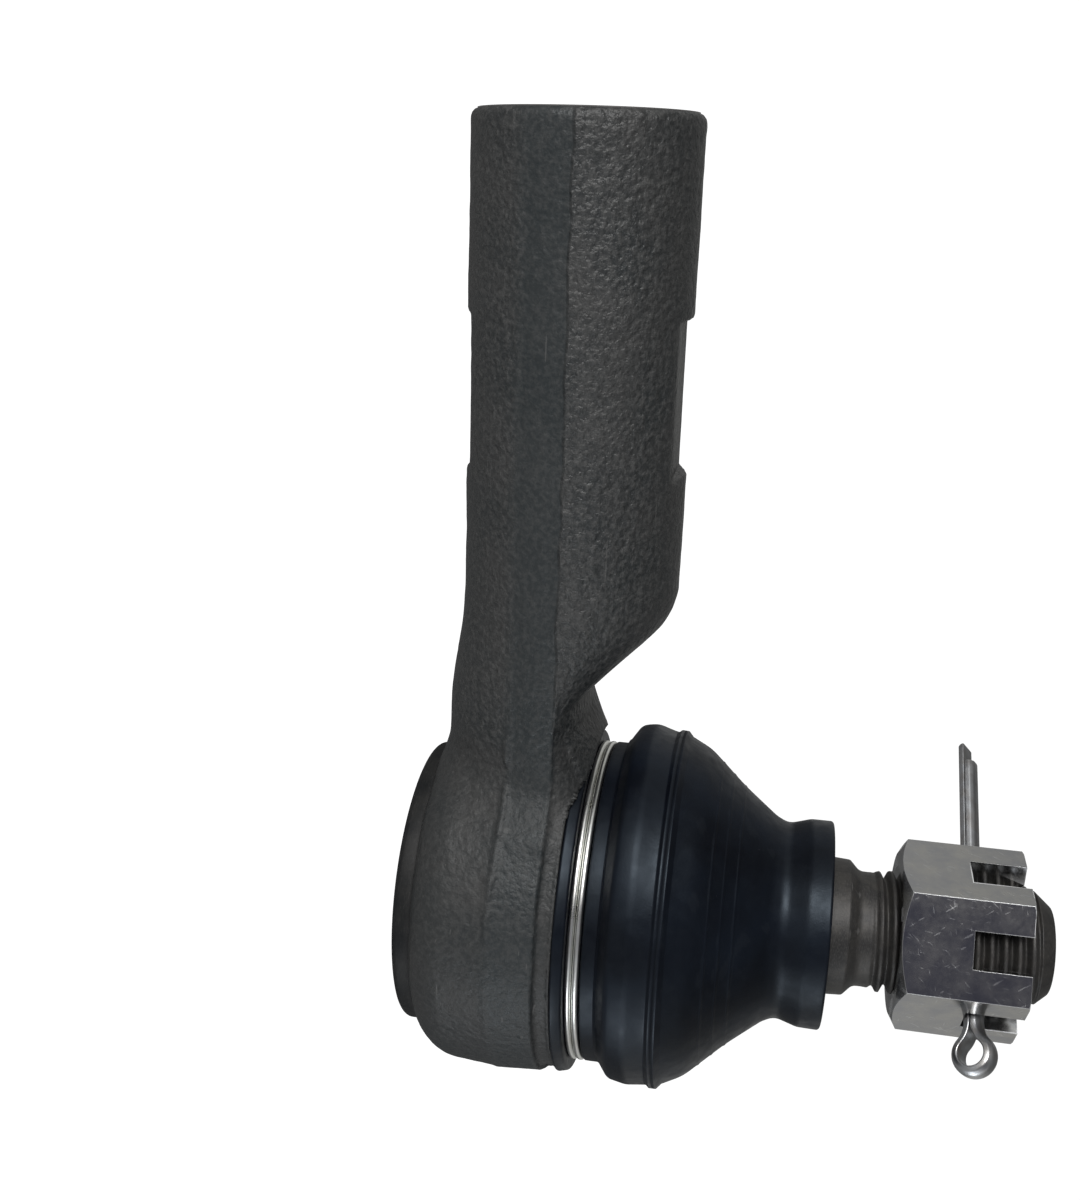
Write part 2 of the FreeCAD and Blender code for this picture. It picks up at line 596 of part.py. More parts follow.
def boot_inside():
    """The boot's inner outline, from its mouth down to its bead on the collar."""
    gap = FIT_GAP
    ring_low, ring_high = NECK_RING_Z[0] - gap, NECK_RING_Z[1] + gap
    ring_r = NECK_RING_OUTER_R + gap
    mouth_floor = BOOT_TOP - BOOT_MOUTH_DEPTH
    neck_foot = BOOT_CONE_TOP[1] - 0.6 * BOOT_WALL
    lip_r = COLLAR_R + COLLAR_LIP + gap
    belly_r = BOOT_BELLY_R - BOOT_WALL
    middle_r, middle_z = cone_point(*BOOT_CONE_MIDDLE)
    shoulder_r, shoulder_z = cone_point(*BOOT_SHOULDER)

    def bore(z):
        return taper_r(z) + BOOT_LIP_GAP

    return [
        (BOOT_MOUTH_R, BOOT_TOP),
        (BOOT_MOUTH_R - BOOT_MOUTH_DRAFT, mouth_floor),
        (bore(mouth_floor), mouth_floor),
        (bore(ring_high), ring_high),
        (ring_r, ring_high),
        (ring_r, ring_low),
        (bore(ring_low), ring_low),
        (bore(neck_foot) + BOOT_MOUTH_DRAFT, neck_foot),
        (middle_r - 0.85 * BOOT_WALL, middle_z - 0.75 * BOOT_WALL),
        (shoulder_r - 0.95 * BOOT_WALL, shoulder_z - 0.4 * BOOT_WALL),
        (belly_r, BOOT_RIM_Z),
        (belly_r, BOOT_BELLY_Z),
        (lip_r, COLLAR_TOP + BOOT_SEAT_REACH),
        (lip_r, COLLAR_TOP - 2 * COLLAR_LIP - gap),
        (COLLAR_R + gap, COLLAR_TOP - 3 * COLLAR_LIP - gap),
    ]


def dust_boot():
    """The rubber boot: bead on the collar, belly, rim, cone and collar round the stud."""
    foot = (COLLAR_R + FIT_GAP, HEAD_TOP + FIT_GAP)
    return turned(foot, boot_outside() + boot_inside())


def boot_clamp_ring():
    """The wire ring in the boot's groove, one torus for each turn of its wire."""
    middle = (BOOT_LIP_TOP + BOOT_GROOVE_TOP) / 2
    turns = []
    for number in range(WIRE_TURNS):
        z = middle + (number - (WIRE_TURNS - 1) / 2) * WIRE_PITCH
        centre_r = BOOT_GROOVE_R + FIT_GAP + WIRE_D / 2
        turns.append(Part.makeTorus(centre_r, WIRE_D / 2, at_stud(0, z)))
    return Part.makeCompound(turns)


def boot_neck_ring():
    """The steel ring moulded into the boot's neck, which grips the stud."""
    inner, outer = NECK_RING_INNER_R, NECK_RING_OUTER_R
    low, high = NECK_RING_Z
    return turned((inner, low), [(outer, low), (outer, high), (inner, high)])


# ---------------------------------------------------------------- files

PIECES = [
    housing, upper_bearing, lower_bearing, preload_spring, end_cover, boot_clamp_ring,
    dust_boot, boot_neck_ring, ball_stud, castle_nut, cotter_pin,
]

os.makedirs("parts", exist_ok=True)
for piece in PIECES:
    shape = piece()
    shape.exportStep("parts/" + piece.__name__ + ".step")
    print(piece.__name__, shape.isValid(), len(shape.Solids), round(shape.Volume, 1))
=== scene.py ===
import itertools
import json
import math

import bmesh
import bpy
import numpy as np
from mathutils import Matrix, Vector


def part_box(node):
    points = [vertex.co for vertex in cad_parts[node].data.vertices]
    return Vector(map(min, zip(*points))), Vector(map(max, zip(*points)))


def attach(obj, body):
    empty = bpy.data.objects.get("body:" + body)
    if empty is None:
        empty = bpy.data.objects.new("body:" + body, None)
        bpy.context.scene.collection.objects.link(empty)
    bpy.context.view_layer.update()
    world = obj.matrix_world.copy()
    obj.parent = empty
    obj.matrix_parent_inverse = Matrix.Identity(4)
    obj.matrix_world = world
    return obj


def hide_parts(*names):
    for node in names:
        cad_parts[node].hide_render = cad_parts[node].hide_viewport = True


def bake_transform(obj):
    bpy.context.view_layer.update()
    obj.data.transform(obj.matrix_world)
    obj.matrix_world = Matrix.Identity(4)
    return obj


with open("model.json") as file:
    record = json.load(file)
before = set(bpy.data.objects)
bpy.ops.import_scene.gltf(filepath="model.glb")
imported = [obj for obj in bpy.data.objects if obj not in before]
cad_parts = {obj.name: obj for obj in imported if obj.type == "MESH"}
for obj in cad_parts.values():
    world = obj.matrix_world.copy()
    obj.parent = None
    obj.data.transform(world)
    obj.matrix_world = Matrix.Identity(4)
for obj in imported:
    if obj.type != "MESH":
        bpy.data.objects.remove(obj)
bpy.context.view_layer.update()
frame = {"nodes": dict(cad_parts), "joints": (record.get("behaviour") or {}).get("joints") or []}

# Shapes are worked out in millimetres in the row's frame, and turned into metres by make_piece.
MM = 0.001
JOINTS = {joint["name"]: joint for joint in frame["joints"]}
STUD_X = JOINTS["stud_spin"]["pos_m"][0] / MM
BALL_Z = JOINTS["stud_spin"]["pos_m"][2] / MM
PIN_DIRECTION = np.array(JOINTS["cotter_pull"]["axis"], float)


def node_box(node):
    """A CAD node's lowest and highest corners in millimetres."""
    low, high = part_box(node)
    return np.array(low) / MM, np.array(high) / MM


HOUSING_LOW, HOUSING_HIGH = node_box("housing")
BOOT_LOW, BOOT_HIGH = node_box("dust_boot")
COVER_LOW, COVER_HIGH = node_box("end_cover")
STUD_HIGH = node_box("ball_stud")[1]
NUT_LOW, NUT_HIGH = node_box("castle_nut")
RING_LOW, RING_HIGH = node_box("boot_clamp_ring")

# ---- Forging ----
SHANK_R = HOUSING_HIGH[2]
FLAT_HALF = 11.0
FLAT_FROM, FLAT_TO = -37.0, -20.5
SLANT_START = 52.95
SLANT_RUN = 9.25
SLANT_ROUND = 7.7
UNDERSIDE_START = 51.0
UNDERSIDE_RUN = 15.0
NECK_CROWN = 2.6
NECK_DEPTH = 13.7
NECK_BLEND_R = 10.0
HEAD_R = 20.8
HEAD_TOP = 2.2
COLLAR_R = 16.6
COLLAR_TOP = 6.9
SOCKET_R = 15.25
MOUTH_R = 12.9
CRIMP_R = 16.8
CRIMP_INNER_R = 13.9
CRIMP_THICK = 1.45
CRIMP_Z = HOUSING_LOW[2]
HEAD_FLOOR = -15.4          # where the forging ends and the rolled rim goes on
SEAT_R, SEAT_Z = 15.9, -13.65   # the cover's seat in the head
INSERT_R, INSERT_END = 9.0, -48.0   # room in the shank for the piece with the female thread
NECK_END = -62.5            # where the shank's slant has run out above the neck
GRID = 0.33                 # spacing of the forging's sampled field
SEAM_Z = (-4.8, 0.4)        # edges of the trimmed flash band
BORE_R = 8.0                # major radius of the M16 female thread
ROD_PITCH = 1.5
BORE_DEPTH = 45.0

# ---- Stud ----
THREAD_R = 7.0
THREAD_PITCH = 1.5
THREAD_LOW, THREAD_HIGH = 37.1, 54.6


# ---- mesh helpers ----


def make_piece(name, points, faces, smooth=True):
    """A mesh object from points in millimetres."""
    mesh = bpy.data.meshes.new(name)
    mesh.from_pydata((np.asarray(points) * MM).tolist(), [], [list(face) for face in faces])
    mesh.validate()
    mesh.update()
    if smooth:
        mesh.shade_smooth()
    piece = bpy.data.objects.new(name, mesh)
    bpy.context.scene.collection.objects.link(piece)
    return piece


def weighted_normals(piece):
    """Keeps flat faces flat beside small rounded edges."""
    modifier = piece.modifiers.new("weighted", "WEIGHTED_NORMAL")
    modifier.keep_sharp = True
    modifier.weight = 100
    return piece


def skin(rows, around, closed=False):
    """Quads between rings of points, ring after ring. A closed skin joins the last ring to the first."""
    faces = []
    for row in range(rows if closed else rows - 1):
        following = (row + 1) % rows
        for step in range(around):
            other = (step + 1) % around
            faces.append((
                row * around + step, row * around + other,
                following * around + other, following * around + step))
    return faces


def ring_skin(rings, closed):
    """Faces between rings of point numbers, where a ring on the axis is one point repeated."""
    faces = []
    pairs = zip(rings, rings[1:] + rings[:1]) if closed else zip(rings, rings[1:])
    for ring, following in pairs:
        for step in range(len(ring)):
            other = (step + 1) % len(ring)
            corners = [ring[step], ring[other], following[other], following[step]]
            unique = list(dict.fromkeys(corners))
            if len(unique) > 2:
                faces.append(unique)
    return faces


def prism(name, outline, low, high):
    """An upright prism on an outline of (x, y), with its top and bottom flat."""
    count = len(outline)
    points = [(x, y, z) for z in (low, high) for x, y in outline]
    faces = [tuple(range(count)), tuple(range(count, 2 * count))] + skin(2, count)
    return outward(make_piece(name, points, faces, smooth=False))


def outward(piece):
    """Turns every face of a closed mesh to face out."""
    work = bmesh.new()
    work.from_mesh(piece.data)
    bmesh.ops.recalc_face_normals(work, faces=work.faces)
    work.to_mesh(piece.data)
    work.free()
    return piece


def rounded(corners, steps=4):
    """A 2-D outline from corners of (radius, height, rounding): each rounding is an arc."""
    points = []
    count = len(corners)
    for number, (r, z, rounding) in enumerate(corners):
        here = np.array((r, z), float)
        before = np.array(corners[number - 1][:2], float)
        after = np.array(corners[(number + 1) % count][:2], float)
        if rounding <= 0:
            points.append(tuple(here))
            continue
        back, ahead = before - here, after - here
        back_length, ahead_length = np.linalg.norm(back), np.linalg.norm(ahead)
        back, ahead = back / back_length, ahead / ahead_length
        half = math.acos(np.clip(back @ ahead, -1, 1)) / 2
        reach = rounding / math.tan(half)
        reach = min(reach, 0.49 * back_length, 0.49 * ahead_length)
        radius = reach * math.tan(half)
        middle = (back + ahead) / np.linalg.norm(back + ahead)
        centre = here + middle * radius / math.sin(half)
        start, end = here + back * reach - centre, here + ahead * reach - centre
        sweep = math.atan2(start[0] * end[1] - start[1] * end[0], start @ end)
        for step in range(steps + 1):
            angle = sweep * step / steps
            turn = np.array([[math.cos(angle), -math.sin(angle)], [math.sin(angle), math.cos(angle)]])
            points.append(tuple(centre + turn @ start))
    return points


def turned(name, rows, segments, closed):
    """A piece round the stud's axis from rows of (radius at each angle, height)."""
    angles = np.linspace(0, 2 * math.pi, segments, endpoint=False)
    points, rings = [], []
    for radius, z in rows:
        radius = np.broadcast_to(radius, angles.shape)
        if radius.max() < 1e-6:
            rings.append([len(points)] * segments)
            points.append((STUD_X, 0, z))
            continue
        rings.append(list(range(len(points), len(points) + segments)))
        points += [
            (STUD_X + r * math.cos(a), r * math.sin(a), z) for r, a in zip(radius, angles)]
    return outward(make_piece(name, points, ring_skin(rings, closed)))


def lathe(name, outline, segments=192, ring_shift=None):
    """A piece turned about the stud's axis from a closed outline of (radius, height)."""
    angles = np.linspace(0, 2 * math.pi, segments, endpoint=False)
    if ring_shift is not None:
        outline = [(r + ring_shift(angles, z) if r > 1e-6 else r, z) for r, z in outline]
    return turned(name, outline, segments, closed=True)


def boolean(piece, cutter, operation):
    """Cuts, joins or intersects two pieces exactly, and removes the cutter."""
    modifier = piece.modifiers.new("boolean", "BOOLEAN")
    modifier.operation = operation
    modifier.solver = "EXACT"
    modifier.object = cutter
    apply_modifiers(piece)
    bpy.data.objects.remove(cutter)


def apply_modifiers(piece):
    """Makes what the modifiers show the piece's own mesh."""
    bpy.context.view_layer.update()
    shown = piece.evaluated_get(bpy.context.evaluated_depsgraph_get())
    mesh = bpy.data.meshes.new_from_object(shown)
    piece.modifiers.clear()
    piece.data = mesh


def lattice_noise(points, wavelength, seed):
    """Smooth noise from -1 to 1 at points, from a seeded lattice of random values."""
    size = 48
    lattice = np.random.RandomState(seed).uniform(-1, 1, (size, size, size))
    place = np.asarray(points) / wavelength
    base = np.floor(place).astype(int)
    part = place - base
    part = part * part * (3 - 2 * part)
    total = np.zeros(len(place))
    for corner in itertools.product((0, 1), repeat=3):
        index = (base + np.array(corner)) % size
        share = np.where(np.array(corner) == 1, part, 1 - part).prod(1)
        total += lattice[index[:, 0], index[:, 1], index[:, 2]] * share
    return total


# ---- forging ----


def ease(t):
    """A smooth step from 0 to 1."""
    t = np.clip(t, 0, 1)
    return t * t * (3 - 2 * t)


def smooth_union(a, b, reach):
    """Joins two fields with a fillet of about this reach."""
    share = np.clip(0.5 + 0.5 * (b - a) / reach, 0, 1)
    return b + (a - b) * share - reach * share * (1 - share)


def smooth_cut(a, b, reach):
    """What is inside both fields, with the edge between them rounded."""
    return -smooth_union(-a, -b, reach)


def outline_field(corners, r, z):
    """Distance to a turned shape's outline, negative inside, looked up from a fine table."""
    corners = np.array(corners, float)
    table_step = 0.1
    rs = np.arange(0, r.max() + 2 * table_step, table_step)
    zs = np.arange(z.min() - table_step, z.max() + 2 * table_step, table_step)
    grid_r, grid_z = np.meshgrid(rs, zs, indexing="ij")
    nearest = np.full(grid_r.shape, 1e9)
    inside = np.zeros(grid_r.shape, bool)
    for start, end in zip(corners, np.roll(corners, -1, 0)):
        edge = end - start
        t = ((grid_r - start[0]) * edge[0] + (grid_z - start[1]) * edge[1]) / (edge @ edge)
        t = np.clip(t, 0, 1)
        off_r = grid_r - start[0] - t * edge[0]
        off_z = grid_z - start[1] - t * edge[1]
        on_axis = start[0] < 1e-6 and end[0] < 1e-6
        if not on_axis:
            nearest = np.minimum(nearest, np.hypot(off_r, off_z))
        crosses = (start[1] > grid_z) != (end[1] > grid_z)
        with np.errstate(divide="ignore", invalid="ignore"):
            at_r = start[0] + (grid_z - start[1]) * edge[0] / edge[1]
        inside ^= crosses & (grid_r < at_r)
    table = np.where(inside, -nearest, nearest)
    place_r = np.clip(r / table_step, 0, len(rs) - 2)
    place_z = np.clip((z - zs[0]) / table_step, 0, len(zs) - 2)
    base_r, base_z = place_r.astype(int), place_z.astype(int)
    part_r, part_z = place_r - base_r, place_z - base_z
    low = table[base_r, base_z] * (1 - part_z) + table[base_r, base_z + 1] * part_z
    high = table[base_r + 1, base_z] * (1 - part_z) + table[base_r + 1, base_z + 1] * part_z
    return low * (1 - part_r) + high * part_r


def head_outline():
    """The head as forged, with the boot's collar on top. The rolled rim is a piece of its own."""
    low_r = HEAD_R - 0.2
    shoulder_r, shoulder_z = 5.5, -9.3
    shoulder = []
    for step in range(9):
        angle = math.radians(-68 + 68 * step / 8)
        shoulder.append((
            low_r - shoulder_r * (1 - math.cos(angle)), shoulder_z + shoulder_r * math.sin(angle), 0))
    return rounded([
        (0, HEAD_FLOOR, 0), (CRIMP_R - 0.4, HEAD_FLOOR, 0.2), (CRIMP_R - 0.4, -14.6, 0.1),
    ] + shoulder + [
        (HEAD_R + 0.2, -4.6, 8.0), (HEAD_R, 0.0, 3.0), (HEAD_R - 0.05, SEAM_Z[1], 0.1),
        (HEAD_R - 0.4, SEAM_Z[1] + 0.35, 0.2), (HEAD_R - 0.45, HEAD_TOP, 0.25),
        (COLLAR_R, HEAD_TOP, 0), (COLLAR_R, COLLAR_TOP, 0.3), (0, COLLAR_TOP, 0),
    ], steps=8)


def socket_outline():
    """The space inside the head for the cover, the bearings and the ball."""
    socket_high = math.sqrt(SOCKET_R**2 - MOUTH_R**2)
    dome = []
    for step in range(9):
        height = socket_high * step / 8
        dome.append((math.sqrt(SOCKET_R**2 - height**2), BALL_Z + height))
    below, above = -17.0, COLLAR_TOP + 1
    return [(0, below), (SEAT_R, below), (SEAT_R, SEAT_Z), (SOCKET_R, SEAT_Z)] + dome + [
        (MOUTH_R, above), (0, above)]


def neck_field(x, y, z):
    """The shank and neck: half ellipses above and below the parting plane, along the shank."""
    angle = math.atan((SHANK_R - NECK_CROWN) / SLANT_RUN)
    tangent = SLANT_ROUND * math.tan(angle / 2)
    start, end = tangent - SLANT_START, -SLANT_START - tangent * math.cos(angle)
    bend = SHANK_R - SLANT_ROUND + np.sqrt(np.maximum(SLANT_ROUND**2 - (x - start)**2, 0))
    slope = SHANK_R + math.tan(angle) * (x + SLANT_START)
    top = np.where(x >= start, SHANK_R, np.where(x >= end, bend, np.maximum(slope, NECK_CROWN)))
    saddle_from, saddle_run, saddle_rise = -65.7, 2.2, 1.1
    ramp = np.clip((saddle_from - x) / saddle_run, 0, 2.2)
    top = top + saddle_rise * ramp * (x < end)
    bottom = SHANK_R + (NECK_DEPTH - SHANK_R) * ease((-UNDERSIDE_START - x) / UNDERSIDE_RUN)
    blend_reach = math.sqrt((HEAD_R + NECK_BLEND_R)**2 - (SHANK_R + NECK_BLEND_R)**2)
    blend_x = STUD_X + blend_reach
    touch_x = STUD_X + blend_reach * HEAD_R / (HEAD_R + NECK_BLEND_R)
    into = np.clip(blend_x - x, 0, blend_x - touch_x)
    half_width = SHANK_R + NECK_BLEND_R - np.sqrt(NECK_BLEND_R**2 - into**2)
    height = np.where(z > 0, top, bottom)
    level = np.sqrt((y / half_width)**2 + (z / height)**2)
    slope = np.sqrt((y / half_width**2)**2 + (z / height**2)**2)
    side = level * (level - 1) / np.maximum(slope, 1e-6)
    inner_end = touch_x - 3.0 - x
    return np.maximum(smooth_cut(side, x + 0.02, 1.2), inner_end)


def forging_field(x, y, z):
    """The whole forging: head and neck blended, then its machined faces and bores cut."""
    from_stud = np.hypot(x - STUD_X, y)
    from_shank = np.hypot(y, z)
    head = outline_field(head_outline(), from_stud, z)
    neck_fillet, clear_r = 2.6, HEAD_R + 0.05
    body = smooth_union(head, neck_field(x, y, z), neck_fillet)
    seat = np.maximum(np.maximum(from_stud - clear_r, COLLAR_R - from_stud), HEAD_TOP - z)
    body = np.maximum(body, -seat)
    above = np.maximum(np.maximum(from_stud - clear_r, COLLAR_TOP - z), -z)
    body = np.maximum(body, -above)
    flat = np.maximum(FLAT_HALF - np.abs(z), np.maximum(x - FLAT_TO, FLAT_FROM - x))
    body = smooth_cut(body, -flat, 0.5)
    bore = np.maximum(from_shank - INSERT_R, INSERT_END - x)
    body = np.maximum(body, -bore)
    return np.maximum(body, -outline_field(socket_outline(), from_stud, z))


def surface_net(field, low, step):
    """The zero surface of a sampled field: a vertex per crossed cell, a quad per crossed edge."""
    cells = tuple(count - 1 for count in field.shape)
    total = np.zeros(cells + (3,), np.float32)
    hits = np.zeros(cells, np.float32)
    negative = field < 0
    crossings = []
    for axis in range(3):
        first = [slice(None)] * 3
        second = [slice(None)] * 3
        first[axis], second[axis] = slice(0, -1), slice(1, None)
        a, b = field[tuple(first)], field[tuple(second)]
        crossed = negative[tuple(first)] != negative[tuple(second)]
        share = np.where(crossed, a / np.where(crossed, a - b, 1), 0)
        crossings.append((crossed, negative[tuple(first)]))
        others = [other for other in range(3) if other != axis]
        for shift in itertools.product((0, 1), repeat=2):
            window = [slice(None)] * 3
            for other, move in zip(others, shift):
                window[other] = slice(move, move + cells[other])
            window = tuple(window)
            here = crossed[window]
            hits += here
            total[..., axis] += share[window] * here
            for other, move in zip(others, shift):
                total[..., other] += move * here
    used = hits > 0
    number = np.full(cells, -1, np.int64)
    number[used] = np.arange(used.sum())
    index = np.argwhere(used)
    points = low + (index + total[used] / hits[used][:, None]) * step
    quads = []
    for axis, (crossed, starts_inside) in enumerate(crossings):
        others = [other for other in range(3) if other != axis]
        at = np.argwhere(crossed)
        for other in others:
            at = at[(at[:, other] > 0) & (at[:, other] < cells[other])]
        corners = []
        for shift in ((1, 1), (0, 1), (0, 0), (1, 0)):
            cell = at.copy()
            for other, move in zip(others, shift):
                cell[:, other] -= move
            corners.append(number[cell[:, 0], cell[:, 1], cell[:, 2]])
        quad = np.stack(corners, 1)
        inside = starts_inside[at[:, 0], at[:, 1], at[:, 2]]
        flip = inside if axis == 1 else ~inside
        quad[flip] = quad[flip][:, ::-1]
        quads.append(quad)
    return points, np.concatenate(quads)


def forged_relief(points):
    """How far the forging's skin stands out: scale, grain, the trimmed flash band and its edges."""
    x, y, z = points.T
    from_stud = np.hypot(x - STUD_X, y)
    on_side = ease((np.abs(y) - 5.0) / 4.0)
    wander = 0.20 * lattice_noise(points * (1, 1, 0.01), 3.5, 5)
    in_band = ease((z + wander - SEAM_Z[0]) / 0.5 + 0.5) * ease((SEAM_Z[1] + wander - z) / 0.5 + 0.5)
    band = in_band * on_side
    grain = 0.022 * lattice_noise(points, 0.75, 1) + 0.03 * lattice_noise(points, 1.3, 2)
    swell = 0.05 * lattice_noise(points, 4.0, 3) + 0.07 * lattice_noise(points, 11.0, 4)
    relief = grain * (1 - 0.45 * band) + swell
    ragged_from, ragged_to = -64.0, -88.0
    near_head = ease((x - ragged_from) / -4.0) * ease((x - ragged_to) / 6.0)
    patchy = ease(0.5 + 1.2 * lattice_noise(points, 2.4, 6))
    lower_edge = np.exp(-((z + wander - SEAM_Z[0]) / 0.35)**2)
    upper_edge = np.exp(-((z + wander - SEAM_Z[1]) / 0.3)**2)
    relief += on_side * lower_edge * (0.06 + 0.42 * near_head * patchy)
    relief += on_side * upper_edge * (0.05 + 0.09 * patchy)
    beside = ease((x - NECK_END) / -2.5)
    set_back = ease((z + 0.5 * wander - SEAM_Z[1] + 0.15) / 0.3) * on_side
    step_depth = 0.42
    relief -= step_depth * beside * set_back * (z < SHANK_R - 0.1)
    machined = (z > HEAD_TOP - 0.1) & (from_stud < HEAD_R + 0.3)
    machined |= (x > -0.3) | (z < -14.9) & (from_stud < CRIMP_R + 0.6)
    machined |= np.hypot(y, z) < INSERT_R + 0.5
    machined |= (from_stud < 16.2) & (z < COLLAR_TOP + 1) & (z > -18)
    flat = (np.abs(z) < FLAT_HALF + 0.15) & (np.abs(z) > FLAT_HALF - 0.15)
    flat &= (x > FLAT_FROM) & (x < FLAT_TO)
    relief = np.where(flat, 0.35 * relief, relief)
    end_fade = ease(-x / 1.5)
    return np.where(machined, 0.0, relief * end_fade)


def forging():
    """The black forged housing, sampled from its field and roughened as forged steel is."""
    margin = 2 * GRID
    low = np.array([HOUSING_LOW[0] - margin, HOUSING_LOW[1] - margin, HEAD_FLOOR - margin])
    high = np.array([margin, HOUSING_HIGH[1] + margin, SHANK_R + margin])
    axes = [np.arange(low[k], high[k] + GRID, GRID) for k in range(3)]
    x, y, z = np.meshgrid(*axes, indexing="ij")
    points, quads = surface_net(forging_field(x, y, z), low, GRID)
    piece = make_piece("housing_forging", points, quads)
    normals = np.zeros(len(piece.data.vertices) * 3, np.float32)
    piece.data.vertices.foreach_get("normal", normals)
    moved = points + normals.reshape(-1, 3) * forged_relief(points)[:, None]
    moved[:, 2] = np.minimum(moved[:, 2], HOUSING_HIGH[2])
    moved[:, :2] = np.clip(moved[:, :2], HOUSING_LOW[:2], HOUSING_HIGH[:2])
    piece.data.vertices.foreach_set("co", (moved * MM).astype(np.float32).ravel())
    piece.data.update()
    return piece


def rolled_rim():
    """The rim of the housing that is rolled in over the end cover."""
    inner_r, top = SEAT_R + 0.05, -14.2
    return weighted_normals(lathe("housing_rolled_rim", rounded([
        (inner_r, top, 0), (CRIMP_R, top, 0), (CRIMP_R, CRIMP_Z + 0.02, 0.7),
        (CRIMP_INNER_R, CRIMP_Z + 0.02, 0.35),
        (CRIMP_INNER_R, CRIMP_Z + CRIMP_THICK - 0.05, 0.1),
        (inner_r, CRIMP_Z + CRIMP_THICK - 0.05, 0),
    ], steps=6)))


def thread_depth(phase, pitch):
    """Depth of a 60 degree thread below its crest, where phase runs from 0 to 1 over a pitch."""
    off = np.abs((phase % 1.0) - 0.5) * 2
    flank = np.clip((off - 0.125) / (1 - 0.125 - 0.25), 0, 1)
    return 0.6134 * pitch * (1 - flank)


def rod_thread():
    """The faced mouth of the shank and its female thread, down to the drill's point."""
    segments = 96
    rows_per_pitch = 12
    angles = np.linspace(0, 2 * math.pi, segments, endpoint=False)
    rows = [(11.3, -0.7), (11.4, 0.0), (8.75, 0.0)]
    chamfer_x = -0.75
    first = -0.9
    last = -BORE_DEPTH
    count = int((first - last) / ROD_PITCH * rows_per_pitch)
    radii, places = [], []
    for r, at in rows:
        radii.append(np.full(segments, r))
        places.append(at)
    for row in range(count + 1):
        at = first + (last - first) * row / count
        depth = thread_depth(at / ROD_PITCH + angles / (2 * math.pi), ROD_PITCH)
        # a female thread's crest points inwards, so the depth counts from its root
        reach = BORE_R - (0.92 - depth) * ease((at - last) / (2 * ROD_PITCH) + 0.2)
        opened = BORE_R + 0.55 - (chamfer_x - at) * 0.9
        radii.append(np.maximum(reach, opened) if at > chamfer_x - 1.2 else reach)
        places.append(at)
    back_x, sleeve_r, point_r = last - 6.0, 10.2, 0.02
    for r, at in [
            (7.2, last - 0.6), (point_r, last - 4.6), (point_r, back_x), (sleeve_r, back_x),
            (sleeve_r, first)]:
        radii.append(np.full(segments, r))
        places.append(at)
    points = []
    for radius, at in zip(radii, places):
        ring = np.stack([np.full(segments, at), radius * np.cos(angles), radius * np.sin(angles)], 1)
        points.append(ring)
    faces = skin(len(places), segments, closed=True)
    return weighted_normals(outward(make_piece("housing_rod_thread", np.concatenate(points), faces)))


# ---- boot and rings ----

RIM_Z = 13.5
RIB_HEIGHTS = (18.5, 19.9, 21.3)
RIB_PROUD = 0.07
RIB_HALF = 0.13


def boot_outer():
    """The boot's outside from its foot to its mouth, as rounded corners."""
    return [
        (20.6, BOOT_LOW[2], 0.25), (20.25, 3.6, 0.35), (18.25, 3.6, 0.15), (18.25, 5.25, 0.15),
        (18.95, 5.4, 0.15), (18.95, 7.1, 0.5), (20.55, 8.3, 1.2), (21.0, 10.4, 3.0),
        (20.75, 12.75, 0.3), (21.08, 13.1, 0.12), (21.08, RIM_Z, 0), (21.08, 13.9, 0.12),
        (20.45, 14.45, 0.25), (19.25, 16.85, 7.0), (15.15, 21.3, 30.0), (12.05, 25.25, 4.0),
        (11.35, 26.7, 2.0), (12.1, 29.3, 2.5), (12.1, BOOT_HIGH[2], 0.35),
    ]


def boot_inner():
    """The boot's inside from its mouth down to the bead on the collar."""
    return [
        (10.55, BOOT_HIGH[2], 0.3), (10.25, 30.4, 0.4), (8.25, 30.1, 0.25), (8.45, 28.4, 0),
        (10.15, 28.4, 0), (10.15, 25.6, 0), (8.75, 25.6, 0.2), (9.3, 24.2, 0.5),
        (13.6, 19.9, 6.0), (17.6, 15.6, 4.0), (19.0, RIM_Z, 0), (19.0, 10.2, 2.0),
        (17.2, 7.6, 0.5), (17.2, 5.9, 0), (16.65, 5.4, 0), (16.65, BOOT_LOW[2], 0),
    ]


def between(start, end, steps):
    """Points in even steps from start up to, but without, end."""
    return [
        (start[0] + (end[0] - start[0]) * t, start[1] + (end[1] - start[1]) * t)
        for t in (step / steps for step in range(steps))]


def densify(outline, longest):
    """The same closed outline with no step longer than this."""
    dense = []
    for start, end in zip(outline, outline[1:] + outline[:1]):
        dense += between(start, end, max(1, math.ceil(math.dist(start, end) / longest)))
    return dense


def boot_shift(angles, z):
    """The boot is rubber, so its sides aren't perfectly round."""
    free = float(ease((z - 6.0) / 4.0)) * float(ease((33.0 - z) / 6.0))
    wave = 0.05 * np.cos(2 * angles + 0.6) + 0.03 * np.cos(3 * angles + 2.0) - 0.09
    fuller = 0.38 * math.exp(-((z - 9.0) / 2.8)**2) * (1 + np.cos(angles))
    return free * wave + fuller * (z > 7.0)


